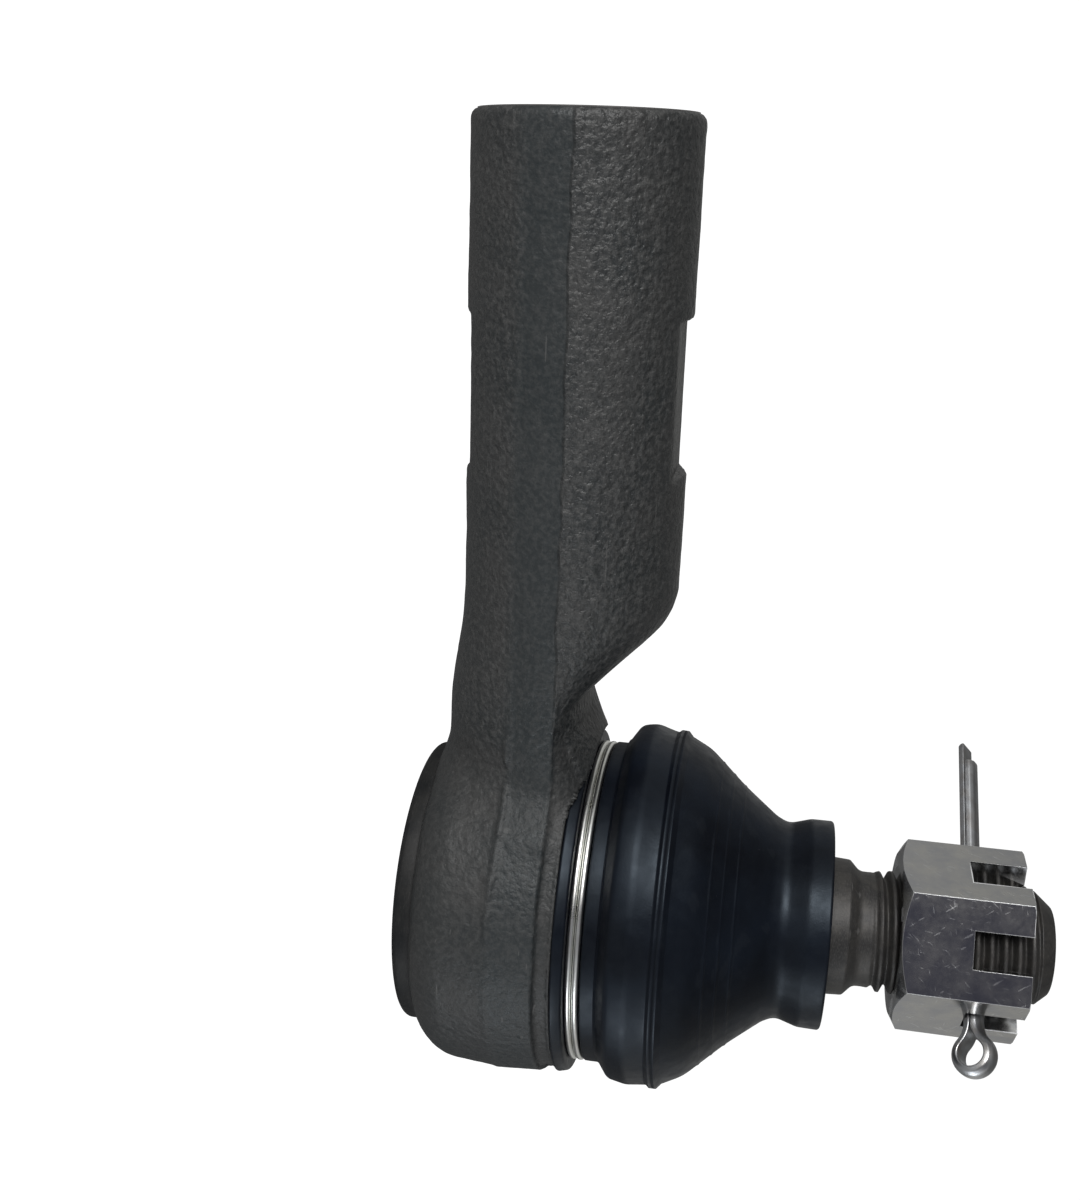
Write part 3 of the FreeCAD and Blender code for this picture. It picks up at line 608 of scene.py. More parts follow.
def boot_part(name, outline, ribbed):
    """One half of the boot, with the fine ribs that its mould leaves on the cone."""
    dense = densify(outline, 0.55)
    if ribbed:
        fine = []
        for start, end in zip(dense, dense[1:] + dense[:1]):
            outside = start[0] > 13.5 and start[1] > 16.5 and end[1] > start[1]
            ribbed_here = outside and RIB_HEIGHTS[0] - 1 < start[1] < RIB_HEIGHTS[-1] + 1
            fine += between(start, end, 7 if ribbed_here else 1)
        dense = []
        for r, z in fine:
            line_r = 19.25 - (z - 16.85) * 0.9
            proud = 0.0
            if r > line_r - 0.9:
                proud = sum(RIB_PROUD * math.exp(-((z - rib) / RIB_HALF)**2) for rib in RIB_HEIGHTS)
            dense.append((r + proud, z))
    return lathe(name, dense, ring_shift=boot_shift)


def boot_pieces():
    """The boot in two pieces that meet at the rim: the belly and the cone."""
    outline = rounded(boot_outer() + boot_inner(), steps=6)
    low = [point for point in outline if point[1] <= RIM_Z + 1e-6]
    high = [point for point in outline if point[1] >= RIM_Z - 1e-6]
    return boot_part("boot_belly", low, False), boot_part("boot_cone", high, True)


def clamp_wire():
    """The bright wire in two turns, with a short step from the first turn to the second."""
    middle_r = (RING_HIGH[0] - RING_LOW[0]) / 2 - 0.38
    wire_r = 0.37
    low_z = RING_LOW[2] + wire_r
    rise = RING_HIGH[2] - RING_LOW[2] - 2 * wire_r
    start_angle, step_half, end_gap = 0.3, 0.2, 0.35
    turn_start = math.radians(-75)
    steps, around = 720, 20
    angles = np.linspace(start_angle, 4 * math.pi - end_gap, steps)
    climb = ease((angles - (2 * math.pi - step_half)) / (2 * step_half + 0.1))
    points = []
    for angle, share in zip(angles, climb):
        for side in range(around):
            turn = 2 * math.pi * side / around
            r = middle_r + wire_r * math.cos(turn)
            z = low_z + rise * share + wire_r * math.sin(turn)
            points.append((
                STUD_X + r * math.cos(angle + turn_start), r * math.sin(angle + turn_start), z))
    faces = [tuple(range(around)), tuple(range((steps - 1) * around, steps * around))]
    faces += skin(steps, around)
    return outward(make_piece("clamp_wire", points, faces))


def cover_plate():
    """The pressed cover under the rolled rim, dished to clear the ball."""
    low, top = COVER_LOW[2] + 0.02, COVER_HIGH[2]
    return weighted_normals(lathe("end_cover_plate", rounded([
        (0, top - 2.25, 0), (8.8, top - 2.25, 1.2), (11.5, top, 1.5), (15.8, top, 0.2),
        (15.8, top - 1.5, 0.2), (12.0, top - 1.5, 1.2), (9.3, low, 1.8), (3.0, low, 0.5),
        (2.6, low + 0.35, 0.4), (0, low + 0.35, 0),
    ], steps=5)))


# ---- stud, nut and pin ----


def stud_outline():
    """The stud from its ball to the foot of its thread."""
    ball_r, flat_depth, neck_r = 13.0, 10.2, 6.8
    ball = []
    top = math.sqrt(ball_r**2 - neck_r**2)
    for step in range(25):
        height = -flat_depth + (top + flat_depth) * step / 24
        ball.append((math.sqrt(ball_r**2 - height**2), BALL_Z + height))
    shaft = rounded([
        (neck_r, BALL_Z + top, 0), (neck_r, 11.0, 3.0), (8.725, 15.5, 3.0), (8.725, 19.7, 0),
        (7.82, 34.15, 0.5), (6.62, 35.3, 2.4), (6.6, 36.3, 0.3), (6.62, 36.5, 0),
    ], steps=7)
    return [(0, BALL_Z - flat_depth)] + ball + shaft[1:]


def ball_stud():
    """The ball stud, with a true helical thread and a centre drilling in its tip."""
    segments = 120
    angles = np.linspace(0, 2 * math.pi, segments, endpoint=False)
    rows = [(np.full(segments, r), z) for r, z in stud_outline()]
    thread_from = rows[-1][1] + 0.1
    tip_z = STUD_HIGH[2]
    blank_r = 6.62
    row_gap = THREAD_PITCH / 14
    count = int((tip_z - 0.25 - thread_from) / row_gap)
    for row in range(count + 1):
        z = thread_from + row * row_gap
        depth = thread_depth(z / THREAD_PITCH - angles / (2 * math.pi), THREAD_PITCH)
        full = ease((z - THREAD_LOW + 0.5) / 1.6)
        radius = blank_r + (THREAD_R - depth - blank_r) * full
        tip_r = THREAD_R - (z - THREAD_HIGH) * 0.87
        rows.append((np.minimum(radius, tip_r), z))
    for r, z in rounded([
            (rows[-1][0].min(), rows[-1][1], 0), (5.0, tip_z, 0.3), (2.1, tip_z, 0.15),
            (0.9, tip_z - 1.5, 0.2), (0.55, tip_z - 2.2, 0), (0, tip_z - 2.5, 0)], steps=3)[1:]:
        rows.append((np.full(segments, r), z))
    stud = turned("ball_stud_turned", rows, segments, closed=False)
    hole = rod("pin_hole", pin_centre(), PIN_DIRECTION, 1.65, 20)
    boolean(stud, hole, "DIFFERENCE")
    stud.data.shade_smooth()
    return weighted_normals(stud)


def rod(name, centre, direction, radius, length, segments=48):
    """A plain rod through a point, used as a cutter."""
    axis = Vector(direction).normalized()
    side = axis.cross(Vector((0, 0, 1))).normalized()
    up = side.cross(axis)
    points = []
    for end in (-0.5, 0.5):
        for step in range(segments):
            angle = 2 * math.pi * step / segments
            point = Vector(centre) + axis * (end * length)
            point += (side * math.cos(angle) + up * math.sin(angle)) * radius
            points.append(tuple(point))
    faces = skin(2, segments) + [tuple(range(segments)), tuple(range(segments, 2 * segments))]
    return outward(make_piece(name, points, faces, smooth=False))


def slot_star(name, low, high, reach, width, first_angle):
    """Three crossed bars in one prism, which cut all six slots of the nut at once."""
    outline = []
    for number in range(6):
        angle = first_angle + math.radians(60 * number)
        along = np.array((math.cos(angle), math.sin(angle)))
        across = np.array((-along[1], along[0]))
        outline.append(along * reach - across * width / 2)
        outline.append(along * reach + across * width / 2)
        notch = angle + math.radians(30)
        outline.append(np.array((math.cos(notch), math.sin(notch))) * width)
    return prism(name, [(STUD_X + x, y) for x, y in outline], low, high)


def castle_nut():
    """The slotted nut: a chamfered hexagon, its slots, and softened edges."""
    across_flats, slot_width, slot_depth = 19.0, 4.2, 6.3
    corner_r = across_flats / math.sqrt(3)
    low, high = NUT_LOW[2], NUT_HIGH[2]
    fall = (corner_r - across_flats / 2) * math.tan(math.radians(30))
    eye_angle = math.atan2(PIN_DIRECTION[1], PIN_DIRECTION[0])
    angles = [eye_angle + math.radians(30 + 60 * corner) for corner in range(6)]
    corners = [(STUD_X + corner_r * math.cos(a), corner_r * math.sin(a)) for a in angles]
    nut = prism("castle_nut_body", corners, low, high)
    face_r = across_flats / 2 - 0.15
    star = slot_star("slots", high - slot_depth, high + 1, 2 * corner_r, slot_width, eye_angle)
    boolean(nut, star, "DIFFERENCE")
    rounding = lathe("rounding", [
        (0, low), (face_r, low), (corner_r + 0.3, low + fall + 0.25),
        (corner_r + 0.3, high - 0.3), (corner_r - 0.3, high), (0, high)], segments=96)
    boolean(nut, rounding, "INTERSECT")
    bore_r = THREAD_R + 0.04
    bore = lathe("bore", [
        (0, low - 1), (bore_r + 0.7, low - 1), (bore_r + 0.7, low), (bore_r, low + 0.7),
        (bore_r, high - 0.3), (bore_r + 0.3, high), (bore_r + 0.3, high + 1), (0, high + 1)],
        segments=92)
    boolean(nut, bore, "DIFFERENCE")
    bevel = nut.modifiers.new("edges", "BEVEL")
    bevel.width = 0.26 * MM
    bevel.segments = 4
    bevel.limit_method = "ANGLE"
    bevel.angle_limit = math.radians(25)
    apply_modifiers(nut)
    work = bmesh.new()
    work.from_mesh(nut.data)
    broad = [face for face in work.faces if face.calc_area() > 4 * MM**2]
    for _ in range(2):
        bmesh.ops.inset_individual(work, faces=broad, thickness=0.06 * MM, use_even_offset=True)
    work.to_mesh(nut.data)
    work.free()
    nut.data.shade_smooth()
    return weighted_normals(nut)


def pin_centre():
    """Where the cotter pin crosses the stud's axis."""
    return Vector((STUD_X, 0, NUT_HIGH[2] - 5.1))


def pin_path():
    """The cotter pin's centre line: (along the eye's direction, height above the hole)."""
    leg_z, eye_r, neck_r = 0.53, 2.0, 3.0
    eye_reach = 15.9 - eye_r - 0.5
    arm = math.sqrt((eye_r + neck_r)**2 - (leg_z + neck_r)**2)
    start = eye_reach - arm
    long_leg, short_leg = -26.5, -24.0
    points = [(s, leg_z) for s in np.linspace(long_leg, start, 24)[:-1]]
    neck_turn = math.acos((leg_z + neck_r) / (eye_r + neck_r))
    for step in range(9):
        angle = neck_turn * step / 8
        points.append((start + neck_r * math.sin(angle), leg_z + neck_r * (1 - math.cos(angle))))
    touch = math.atan2(points[-1][1], points[-1][0] - eye_reach)
    for step in range(1, 32):
        angle = touch - 2 * touch * step / 32
        points.append((eye_reach + eye_r * math.cos(angle), eye_r * math.sin(angle)))
    for step in range(9):
        angle = neck_turn * (8 - step) / 8
        points.append((start + neck_r * math.sin(angle), -leg_z - neck_r * (1 - math.cos(angle))))
    points += [(s, -leg_z) for s in np.linspace(start, short_leg, 24)[1:]]
    return np.array(points)


def cotter_pin():
    """The split pin: half-round wire bent to an eye, its flat side inwards."""
    width, thick = 2.7, 1.0
    path = pin_path()
    ahead = np.gradient(path, axis=0)
    ahead /= np.linalg.norm(ahead, axis=1)[:, None]
    inward = np.stack([ahead[:, 1], -ahead[:, 0]], 1)
    section = rounded([
        (-width / 2, thick / 2, 0.15), (width / 2, thick / 2, 0.15),
        (width / 2 - 0.25, -0.1, 0.5), (0.55, -thick / 2, 0.9),
        (-0.55, -thick / 2, 0.9), (-width / 2 + 0.25, -0.1, 0.5)], steps=4)
    eye = Vector(PIN_DIRECTION).normalized()
    roll = math.radians(33)
    level = eye.cross(Vector((0, 0, 1)))
    up = -level * math.sin(roll) - Vector((0, 0, math.cos(roll)))
    side = eye.cross(up)
    centre = pin_centre()
    tip_in, tip_share = 0.18, 0.86
    rows = [(place, normal, 1.0) for place, normal in zip(path, inward)]
    rows[0] = (path[0], inward[0], tip_share)
    rows[-1] = (path[-1], inward[-1], tip_share)
    rows.insert(1, (path[0] + (tip_in, 0), inward[0], 1.0))
    rows.insert(len(rows) - 1, (path[-1] + (tip_in, 0), inward[-1], 1.0))
    points = []
    for (s, z), normal, shrink in rows:
        for across, depth in section:
            off = depth * shrink
            point = centre + eye * float(s + normal[0] * off) + side * float(across * shrink)
            points.append(tuple(point + up * float(z + normal[1] * off)))
    around = len(section)
    faces = skin(len(rows), around)
    faces += [tuple(range(around)), tuple(range((len(rows) - 1) * around, len(rows) * around))]
    return weighted_normals(outward(make_piece("cotter_pin_wire", points, faces)))


# ---- materials ----


def add_node(tree, kind, **inputs):
    """A new node of this kind. Each input named is set, or linked where its value is an output."""
    node = tree.nodes.new("ShaderNode" + kind)
    for name, value in inputs.items():
        socket = node.inputs[name.replace("_", " ")]
        if isinstance(value, bpy.types.NodeSocket):
            tree.links.new(value, socket)
        else:
            socket.default_value = value
    return node


class Surface:
    """A node material whose textures are laid out in millimetres of the row's frame."""

    def __init__(self, name):
        self.material = bpy.data.materials.new(name)
        self.material.use_nodes = True
        self.tree = self.material.node_tree
        self.shader = self.tree.nodes["Principled BSDF"]
        place = self.add("TexCoord").outputs["Object"]
        self.place = self.add("Mapping", Scale=(1 / MM,) * 3, Vector=place).outputs["Vector"]

    def add(self, kind, **inputs):
        """A new node in this material."""
        return add_node(self.tree, kind, **inputs)

    def fixed(self, **values):
        """Sets values that are the same all over, on the shader's own sockets."""
        for name, value in values.items():
            self.shader.inputs[name.replace("_", " ")].default_value = value

    def colour(self, output):
        """Drives the base colour."""
        self.tree.links.new(output, self.shader.inputs["Base Color"])

    def roughness(self, output):
        """Drives the roughness."""
        self.tree.links.new(output, self.shader.inputs["Roughness"])

    def metallic(self, output):
        """Drives how metallic the surface is."""
        self.tree.links.new(output, self.shader.inputs["Metallic"])

    def bump(self, *layers):
        """Relief from (height output, millimetres) layers, on top of each other."""
        below = {}
        for height, depth in layers:
            node = self.add("Bump", Strength=1.0, Distance=depth * MM, Height=height, **below)
            below = {"Normal": node.outputs["Normal"]}
        self.tree.links.new(below["Normal"], self.shader.inputs["Normal"])

    def stretched(self, scale, offset=(0, 0, 0), turn=(0, 0, 0), place=None):
        """Millimetre coordinates moved, turned, and with another scale along each axis."""
        place = place or self.place
        node = self.add("Mapping", Scale=scale, Rotation=turn, Location=offset, Vector=place)
        return node.outputs["Vector"]

    def noise(self, size, detail=3.0, roughness=0.55, place=None):
        """Noise with features of about this many millimetres."""
        place = place or self.place
        return self.add(
            "TexNoise", Scale=1 / size, Detail=detail, Roughness=roughness, Vector=place).outputs["Fac"]

    def specks(self, spacing, radius, share):
        """Small round specks: 1 on a speck, 0 elsewhere, in a share of the cells."""
        cells = self.add("TexVoronoi", Scale=1 / spacing, Vector=self.place)
        near = self.ranged(cells.outputs["Distance"], radius / spacing, 0.4 * radius / spacing, 0, 1)
        split = self.add("SeparateColor", Color=cells.outputs["Color"])
        return self.times(near, self.ranged(split.outputs[0], share, share * 0.8, 0, 1))

    def axis(self, name):
        """One coordinate of the frame, in millimetres."""
        return self.add("SeparateXYZ", Vector=self.place).outputs[name]

    def ranged(self, value, from_low, from_high, to_low, to_high):
        """A value moved from one range to another, and held inside it."""
        return self.add(
            "MapRange", From_Min=from_low, From_Max=from_high, To_Min=to_low, To_Max=to_high,
            Value=value).outputs["Result"]

    def math(self, operation, a, b):
        """One sum on two values. Only a product or a maximum is held between 0 and 1."""
        node = self.add("Math")
        node.operation = operation
        node.use_clamp = operation not in ("ADD", "ABSOLUTE")
        for socket, value in zip(node.inputs, (a, b)):
            if isinstance(value, bpy.types.NodeSocket):
                self.tree.links.new(value, socket)
            else:
                socket.default_value = value
        return node.outputs["Value"]

    def times(self, a, b):
        """One value times another."""
        return self.math("MULTIPLY", a, b)

    def plus(self, a, b):
        """Two values added."""
        return self.math("ADD", a, b)

    def mix(self, share, a, b):
        """A colour between two colours or colour outputs."""
        node = self.add("Mix", Factor=share)
        node.data_type = "RGBA"
        for name, value in (("A", a), ("B", b)):
            socket = [s for s in node.inputs if s.name == name and s.type == "RGBA"][0]
            if isinstance(value, tuple):
                socket.default_value = value + (1,)
            else:
                self.tree.links.new(value, socket)
        return [s for s in node.outputs if s.type == "RGBA"][0]

    def graded(self, value, low, high, a, b):
        """From one colour to another as a value rises from low to high."""
        return self.mix(self.ranged(value, low, high, 0, 1), a, b)

    def edges(self, low, high):
        """1 on outward edges and crests, 0 on flat and hollow places."""
        return self.ranged(self.add("NewGeometry").outputs["Pointiness"], low, high, 0, 1)


def forged_black():
    """Dark coated forging: orange-peel grain, mottling, dust, and a smoother trimmed flash band."""
    s = Surface("forged_black")
    wander = s.ranged(s.noise(6.0, 2.0), 0.3, 0.7, -0.2, 0.2)
    height = s.plus(s.axis("Z"), wander)
    below = s.ranged(height, SEAM_Z[0] - 0.9, SEAM_Z[0] + 0.9, 0, 1)
    above = s.ranged(height, SEAM_Z[1] + 0.2, SEAM_Z[1] - 0.1, 0, 1)
    beside = s.ranged(s.math("ABSOLUTE", s.axis("Y"), 0), 4.0, 7.0, 0, 1)
    band = s.times(s.times(below, above), beside)
    on_head = s.ranged(s.axis("X"), -64.0, -74.0, 0, 1)
    calm = s.math("MAXIMUM", s.times(band, 0.50), s.times(on_head, 0.50))
    lively = s.ranged(calm, 0, 1, 1, 0)
    mottle = s.noise(7.0, 4.0)
    tone = s.graded(mottle, 0.35, 0.65, (0.036, 0.0395, 0.0405), (0.052, 0.0525, 0.052))
    # partly painted shade: the trimmed band gets its own bluish tint, and is also darkened to stand in
    # for the dark reflection its smoother face shows
    tone = s.mix(s.times(band, 0.65), tone, (0.030, 0.0375, 0.0405))
    grain = s.noise(0.55, 3.0, 0.6)
    tone = s.mix(s.times(s.ranged(grain, 0.42, 0.66, 0, 0.75), lively), tone, (0.092, 0.092, 0.090))
    # painted shade: a near-black line along the band's upper edge stands in for the shade in the groove
    # there
    line = s.times(s.ranged(height, SEAM_Z[1] - 0.1, SEAM_Z[1] + 0.1, 0, 1), above)
    tone = s.mix(s.times(s.times(line, beside), 0.8), tone, (0.012, 0.013, 0.014))
    crest = s.edges(0.56, 0.66)
    tone = s.mix(s.times(crest, 0.3), tone, (0.12, 0.12, 0.118))
    dust = s.plus(s.specks(3.1, 0.07, 0.14), s.specks(1.7, 0.05, 0.10))
    tone = s.mix(s.times(dust, 0.8), tone, (0.30, 0.31, 0.31))
    scratch = s.noise(1.0, 1.0, 0.4, s.stretched((0.10, 2.2, 2.2)))
    scratch = s.ranged(scratch, 0.765, 0.79, 0, 0.3)
    s.colour(s.mix(scratch, tone, (0.2, 0.195, 0.19)))
    rough = s.plus(s.ranged(grain, 0.35, 0.7, 0.36, 0.52), s.ranged(mottle, 0.3, 0.7, -0.03, 0.05))
    s.roughness(s.plus(rough, s.times(on_head, 0.10)))
    s.fixed(Metallic=0.15)
    peel = s.noise(0.85, 2.0, 0.5)
    s.bump((s.times(peel, lively), 0.36), (s.times(grain, lively), 0.16))
    return s.material


def machined_black():
    """Turned faces under the same dark coating: fine rings and a smoother sheen."""
    s = Surface("machined_black")
    rings = s.noise(0.12, 2.0, 0.6, s.stretched((1.0, 0.02, 0.02)))
    patch = s.noise(3.0, 3.0)
    tone = s.graded(patch, 0.35, 0.65, (0.050, 0.052, 0.053), (0.085, 0.083, 0.08))
    s.colour(s.mix(s.times(s.edges(0.51, 0.56), 0.6), tone, (0.22, 0.215, 0.21)))
    s.roughness(s.ranged(patch, 0.3, 0.7, 0.32, 0.46))
    s.fixed(Metallic=0.35)
    s.bump((rings, 0.015), (s.noise(0.5), 0.01))
    return s.material


def turned_rim():
    """The rolled rim and the cover: rolled, coated steel with light rubbing marks round it."""
    s = Surface("rolled_steel_black")
    patch = s.noise(2.5, 4.0)
    rub = s.noise(0.7, 3.0, 0.6, s.stretched((1.0, 1.0, 9.0)))
    tone = s.graded(patch, 0.35, 0.65, (0.013, 0.014, 0.015), (0.024, 0.024, 0.0235))
    tone = s.mix(s.ranged(rub, 0.55, 0.72, 0, 0.35), tone, (0.085, 0.084, 0.082))
    s.colour(s.mix(s.times(s.edges(0.56, 0.64), 0.4), tone, (0.12, 0.118, 0.115)))
    s.roughness(s.ranged(rub, 0.3, 0.7, 0.42, 0.6))
    s.fixed(Metallic=0.0, Specular_IOR_Level=0.18)
    s.bump((s.noise(0.5, 3.0), 0.03))
    return s.material


def boot_rubber():
    """Black rubber with a painted blue reflection of the room in its colour, a soft sheen, a thin bloom
    in patches, and a little dust.
    """
    s = Surface("boot_rubber")
    bloom = s.noise(9.0, 3.0, 0.5)
    # painted reflection: both tones are tinted blue to stand in for the room reflected in the rubber;
    # the patchy change between them is the bloom
    tone = s.graded(bloom, 0.40, 0.68, (0.0026, 0.0032, 0.0058), (0.0055, 0.0080, 0.0140))
    smear = s.noise(2.6, 4.0, 0.6, s.stretched((1, 1, 0.45)))
    tone = s.mix(s.ranged(smear, 0.60, 0.80, 0, 0.3), tone, (0.016, 0.019, 0.024))
    crest = s.edges(0.51, 0.56)
    tone = s.mix(s.times(crest, 0.12), tone, (0.028, 0.032, 0.038))
    dust = s.plus(s.specks(2.3, 0.055, 0.16), s.specks(1.1, 0.030, 0.10))
    s.colour(s.mix(s.times(dust, 0.7), tone, (0.30, 0.31, 0.32)))
    s.roughness(s.ranged(s.noise(1.6, 4.0, 0.6), 0.3, 0.7, 0.33, 0.47))
    s.fixed(IOR=1.5, Specular_IOR_Level=0.36, Specular_Tint=(0.72, 0.86, 1.0, 1.0))
    s.bump((s.noise(0.30, 3.0, 0.6), 0.012), (s.noise(5.0, 2.0), 0.10))
    return s.material


def stud_steel():
    """Phosphated steel: dark, slightly warm, with bright rubbed crests and edges."""
    s = Surface("stud_steel")
    patch = s.noise(1.8, 4.0, 0.6)
    tone = s.graded(patch, 0.35, 0.65, (0.040, 0.039, 0.0385), (0.080, 0.076, 0.071))
    marks = s.noise(0.35, 3.0, 0.6, s.stretched((1.0, 1.0, 5.0)))
    tone = s.mix(s.ranged(marks, 0.5, 0.75, 0, 0.5), tone, (0.17, 0.165, 0.158))
    s.colour(s.mix(s.times(s.edges(0.56, 0.64), 0.45), tone, (0.26, 0.257, 0.253)))
    s.metallic(s.ranged(patch, 0.3, 0.7, 0.35, 0.6))
    s.roughness(s.ranged(marks, 0.3, 0.7, 0.42, 0.58))
    s.bump((s.noise(0.25, 3.0, 0.6), 0.015), (marks, 0.01))
    return s.material


def zinc_plate():
    """Bright zinc plating on a cold-formed nut: milky patches, scratches, and rubbed corners that also
    carry a painted highlight line.
    """
    s = Surface("zinc_plate")
    patch = s.noise(3.2, 4.0, 0.6)
    cool, warm = (0.44, 0.445, 0.46), (0.53, 0.525, 0.505)
    tone = s.graded(patch, 0.38, 0.62, cool, warm)
    fine = s.noise(0.5, 4.0, 0.65)
    tone = s.mix(s.ranged(fine, 0.45, 0.75, 0, 0.25), tone, (0.42, 0.42, 0.43))
    scratch = None
    for number, angle in enumerate((12, 55, 100, 160)):
        turned = s.stretched((1, 1, 1), (3 * number, 0, 0), (0, math.radians(angle), math.radians(40)))
        lines = s.noise(0.30, 1.0, 0.4, s.stretched((1.9, 0.13, 0.16), (number, 0, 0), place=turned))
        lines = s.ranged(lines, 0.725, 0.75, 0, 0.4)
        scratch = lines if scratch is None else s.plus(scratch, lines)
    tone = s.mix(scratch, tone, (0.74, 0.75, 0.76))
    # painted highlight: the edge mask turns the rounded edges near white and less metallic, a bright
    # line that stands in for the light they reflect, on top of rubbed wear
    rubbed = s.edges(0.508, 0.54)
    s.colour(s.mix(s.times(rubbed, 0.9), tone, (0.92, 0.93, 0.94)))
    s.metallic(s.ranged(rubbed, 0, 1, 1.0, 0.25))
    rough = s.plus(s.ranged(patch, 0.3, 0.7, 0.13, 0.20), s.ranged(fine, 0.3, 0.8, -0.02, 0.04))
    s.roughness(s.plus(rough, s.times(scratch, 0.2)))
    s.bump((s.noise(0.7, 3.0, 0.6), 0.003), (scratch, -0.0015), (s.noise(3.0, 2.0), 0.015))
    return s.material


def bright_wire():
    """Drawn wire: bright, with faint tarnish and patchy roughness."""
    s = Surface("bright_wire")
    tarnish = s.noise(2.2, 3.0)
    tone = s.graded(tarnish, 0.42, 0.7, (0.95, 0.955, 0.92), (0.84, 0.835, 0.79))
    s.colour(tone)
    s.fixed(Metallic=1.0)
    s.roughness(s.ranged(s.noise(4.0, 3.0), 0.3, 0.7, 0.26, 0.36))
    return s.material


def pin_zinc():
    """The cotter pin's glossy zinc over folded wire."""
    s = Surface("pin_zinc")
    tarnish = s.noise(1.6, 4.0, 0.6)
    tone = s.graded(tarnish, 0.40, 0.68, (0.70, 0.715, 0.735), (0.56, 0.545, 0.53))
    s.colour(tone)
    s.fixed(Metallic=1.0)
    s.roughness(s.ranged(s.noise(2.0, 3.0), 0.3, 0.7, 0.30, 0.40))
    s.bump((s.noise(2.2, 2.0), 0.012))
    return s.material


def bearing_plastic():
    """Cream acetal with a waxy film of grease."""
    s = Surface("bearing_plastic")
    film = s.noise(4.0, 3.0)
    s.colour(s.graded(film, 0.4, 0.65, (0.74, 0.71, 0.62), (0.58, 0.53, 0.42)))
    s.roughness(s.ranged(film, 0.3, 0.7, 0.25, 0.45))
    s.bump((s.noise(0.6, 2.0), 0.01))
    return s.material


def spring_steel():
    """Oiled, hardened spring steel with faint blueing."""
    s = Surface("spring_steel")
    blueing = s.noise(3.0, 3.0)
    s.colour(s.graded(blueing, 0.4, 0.65, (0.23, 0.235, 0.26), (0.34, 0.32, 0.29)))
    s.fixed(Metallic=1.0)
    s.roughness(s.ranged(blueing, 0.3, 0.7, 0.26, 0.4))
    s.bump((s.noise(0.4, 2.0), 0.01))
    return s.material


def dress(piece, material, body, slot, *nodes):
    """Gives a piece its material and its body, and hides the CAD nodes it stands for. The slot argument
    is not used.
    """
    piece.data.materials.clear()
    piece.data.materials.append(material)
    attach(piece, body)
    if nodes:
        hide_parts(*nodes)
    return piece


def dress_node(node, material):
    """Gives a CAD node that is kept a better material."""
    slots = frame["nodes"][node].material_slots
    for slot in slots:
        slot.material = material


# ---- object ----

black = forged_black()
coated = machined_black()
rolled = turned_rim()
rubber = boot_rubber()
steel = stud_steel()
spring = spring_steel()
acetal = bearing_plastic()

dress(forging(), black, "housing", "forging", "housing")
dress(rolled_rim(), rolled, "housing", "forging")
dress(rod_thread(), coated, "housing", "forging")
dress(cover_plate(), rolled, "housing", "cover_steel", "end_cover")
dress(clamp_wire(), bright_wire(), "housing", "bright_wire", "boot_clamp_ring")

belly, cone = boot_pieces()
for part, first, second, low, high in (
        (belly, "housing", "boot", 6.0, RIM_Z), (cone, "boot", "boot_neck", RIM_Z, 25.5)):
    part.data.materials.append(rubber)
    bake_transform(part)
    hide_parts("dust_boot")

dress(ball_stud(), steel, "stud", "stud_steel", "ball_stud")
dress(castle_nut(), zinc_plate(), "stud", "zinc_plate", "castle_nut")
dress(cotter_pin(), pin_zinc(), "cotter", "pin_steel", "cotter_pin")

for kept in ("upper_bearing", "lower_bearing"):
    dress_node(kept, acetal)
for kept in ("preload_spring", "boot_neck_ring"):
    dress_node(kept, spring)

# ---- studio ----


CAMERA_SIDE = Vector((0.30, 0.94, 0.17)).normalized()
FLOOR_Z = -140.0
FLOOR_HALF = 6000
# the room's tone, from square on to the camera's side at 0 to behind the camera at 1
ROOM_TONES = (
    (0.30, (0.60, 0.61, 0.61, 1)), (0.62, (0.84, 0.86, 0.88, 1)),
    (0.84, (0.38, 0.39, 0.42, 1)), (0.94, (0.110, 0.112, 0.140, 1)))


def choose_for_camera(tree, lighting, shown, output):
    """Lights the scene with one shader and shows the camera another."""
    mixed = add_node(tree, "MixShader", Fac=add_node(tree, "LightPath").outputs["Is Camera Ray"])
    tree.links.new(lighting, mixed.inputs[1])
    tree.links.new(shown, mixed.inputs[2])
    tree.links.new(mixed.outputs[0], tree.nodes[output].inputs["Surface"])


def studio_floor():
    """A plain pale floor: the part's shade falls on it softly, and far away it meets the white room."""
    s = Surface("studio_floor")
    s.colour(s.mix(s.noise(300.0, 2.0), (0.50, 0.50, 0.50), (0.53, 0.53, 0.53)))
    s.fixed(Roughness=0.9, Specular_IOR_Level=0.1)
    links = s.tree.links
    both = s.add("AddShader")
    links.new(s.shader.outputs[0], both.inputs[0])
    links.new(s.add("Emission", Strength=1.0).outputs[0], both.inputs[1])
    choose_for_camera(s.tree, s.shader.outputs[0], both.outputs[0], "Material Output")
    return s.material


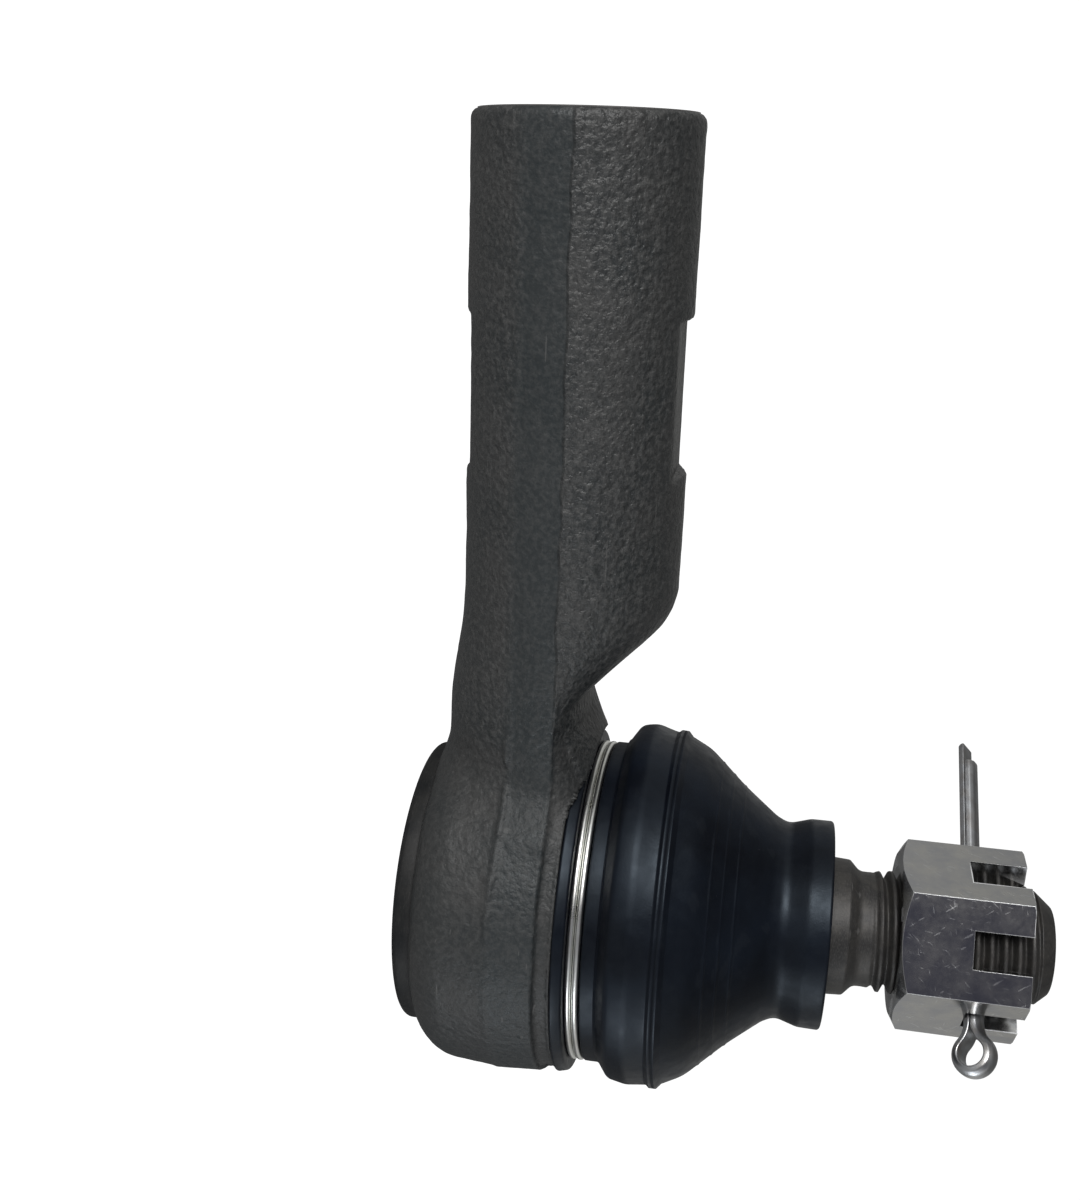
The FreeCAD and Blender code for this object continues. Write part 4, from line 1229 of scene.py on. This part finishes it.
def studio():
    """A pale floor below the part, and a soft room: white to look at, dim beside the camera."""
    corners = [(-1, -1), (1, -1), (1, 1), (-1, 1)]
    floor = make_piece(
        "floor", [(FLOOR_HALF * x, FLOOR_HALF * y, FLOOR_Z) for x, y in corners], [(0, 1, 2, 3)],
        smooth=False)
    floor.data.materials.append(studio_floor())
    world = bpy.data.worlds.new("room")
    world.use_nodes = True
    bpy.context.scene.world = world
    tree = world.node_tree
    direction = add_node(tree, "TexCoord").outputs["Generated"]
    facing = add_node(tree, "VectorMath")
    facing.operation = "DOT_PRODUCT"
    facing.inputs[1].default_value = CAMERA_SIDE
    tree.links.new(direction, facing.inputs[0])
    ramp = add_node(tree, "ValToRGB", Fac=facing.outputs["Value"])
    tones = ramp.color_ramp.elements
    tones[0].position, tones[0].color = 0.0, (0.46, 0.46, 0.45, 1)
    tones[1].position, tones[1].color = 1.0, (0.080, 0.080, 0.105, 1)
    for place, tone in ROOM_TONES:
        tones.new(place).color = tone
    height = add_node(tree, "SeparateXYZ", Vector=direction).outputs["Z"]
    dim = add_node(tree, "MapRange", From_Min=0.0, From_Max=0.8, To_Min=1.0, To_Max=0.16, Value=height)
    room = tree.nodes["Background"]
    tree.links.new(ramp.outputs["Color"], room.inputs["Color"])
    tree.links.new(dim.outputs["Result"], room.inputs["Strength"])
    backdrop = add_node(tree, "Background", Color=(1, 1, 1, 1), Strength=1.05)
    choose_for_camera(tree, room.outputs[0], backdrop.outputs[0], "World Output")


def softbox(name, direction, distance, size, power, colour):
    """An area light that faces the part, in metres. The camera doesn't see it."""
    data = bpy.data.lights.new(name, "AREA")
    data.shape = "RECTANGLE"
    data.size, data.size_y = size
    data.energy = power
    data.color = colour
    light = bpy.data.objects.new(name, data)
    target = Vector((STUD_X * MM * 0.6, 0, 0.015))
    light.location = target + Vector(direction).normalized() * distance
    light.rotation_euler = (target - light.location).to_track_quat("-Z", "Y").to_euler()
    light.visible_camera = False
    bpy.context.scene.collection.objects.link(light)


def camera():
    """The photograph's viewpoint: beside the part, with the shank pointing up in the picture."""
    data = bpy.data.cameras.new("camera")
    data.sensor_width = 36.0
    data.lens = 40.55
    data.clip_start, data.clip_end = 0.01, 20
    lens = bpy.data.objects.new("camera", data)
    forward = Vector((-0.3032, -0.9378, -0.1692)).normalized()
    up = Vector((0.9525, -0.2931, -0.0824))
    right = forward.cross(up).normalized()
    up = right.cross(forward)
    turn = Matrix((right, up, -forward)).transposed()
    place = Vector((-5.95, 145.16, 22.57)) * MM
    lens.matrix_world = Matrix.Translation(place) @ turn.to_4x4()
    bpy.context.scene.collection.objects.link(lens)
    bpy.context.scene.camera = lens


studio()
softbox("key", (0.72, 0.66, 0.16), 0.55, (0.26, 0.34), 2.1, (1.0, 0.99, 0.98))
softbox("fill", (-0.78, 0.58, -0.12), 0.50, (0.20, 0.26), 0.5, (0.92, 0.96, 1.0))
camera()
bpy.context.scene.view_settings.view_transform = "Standard"
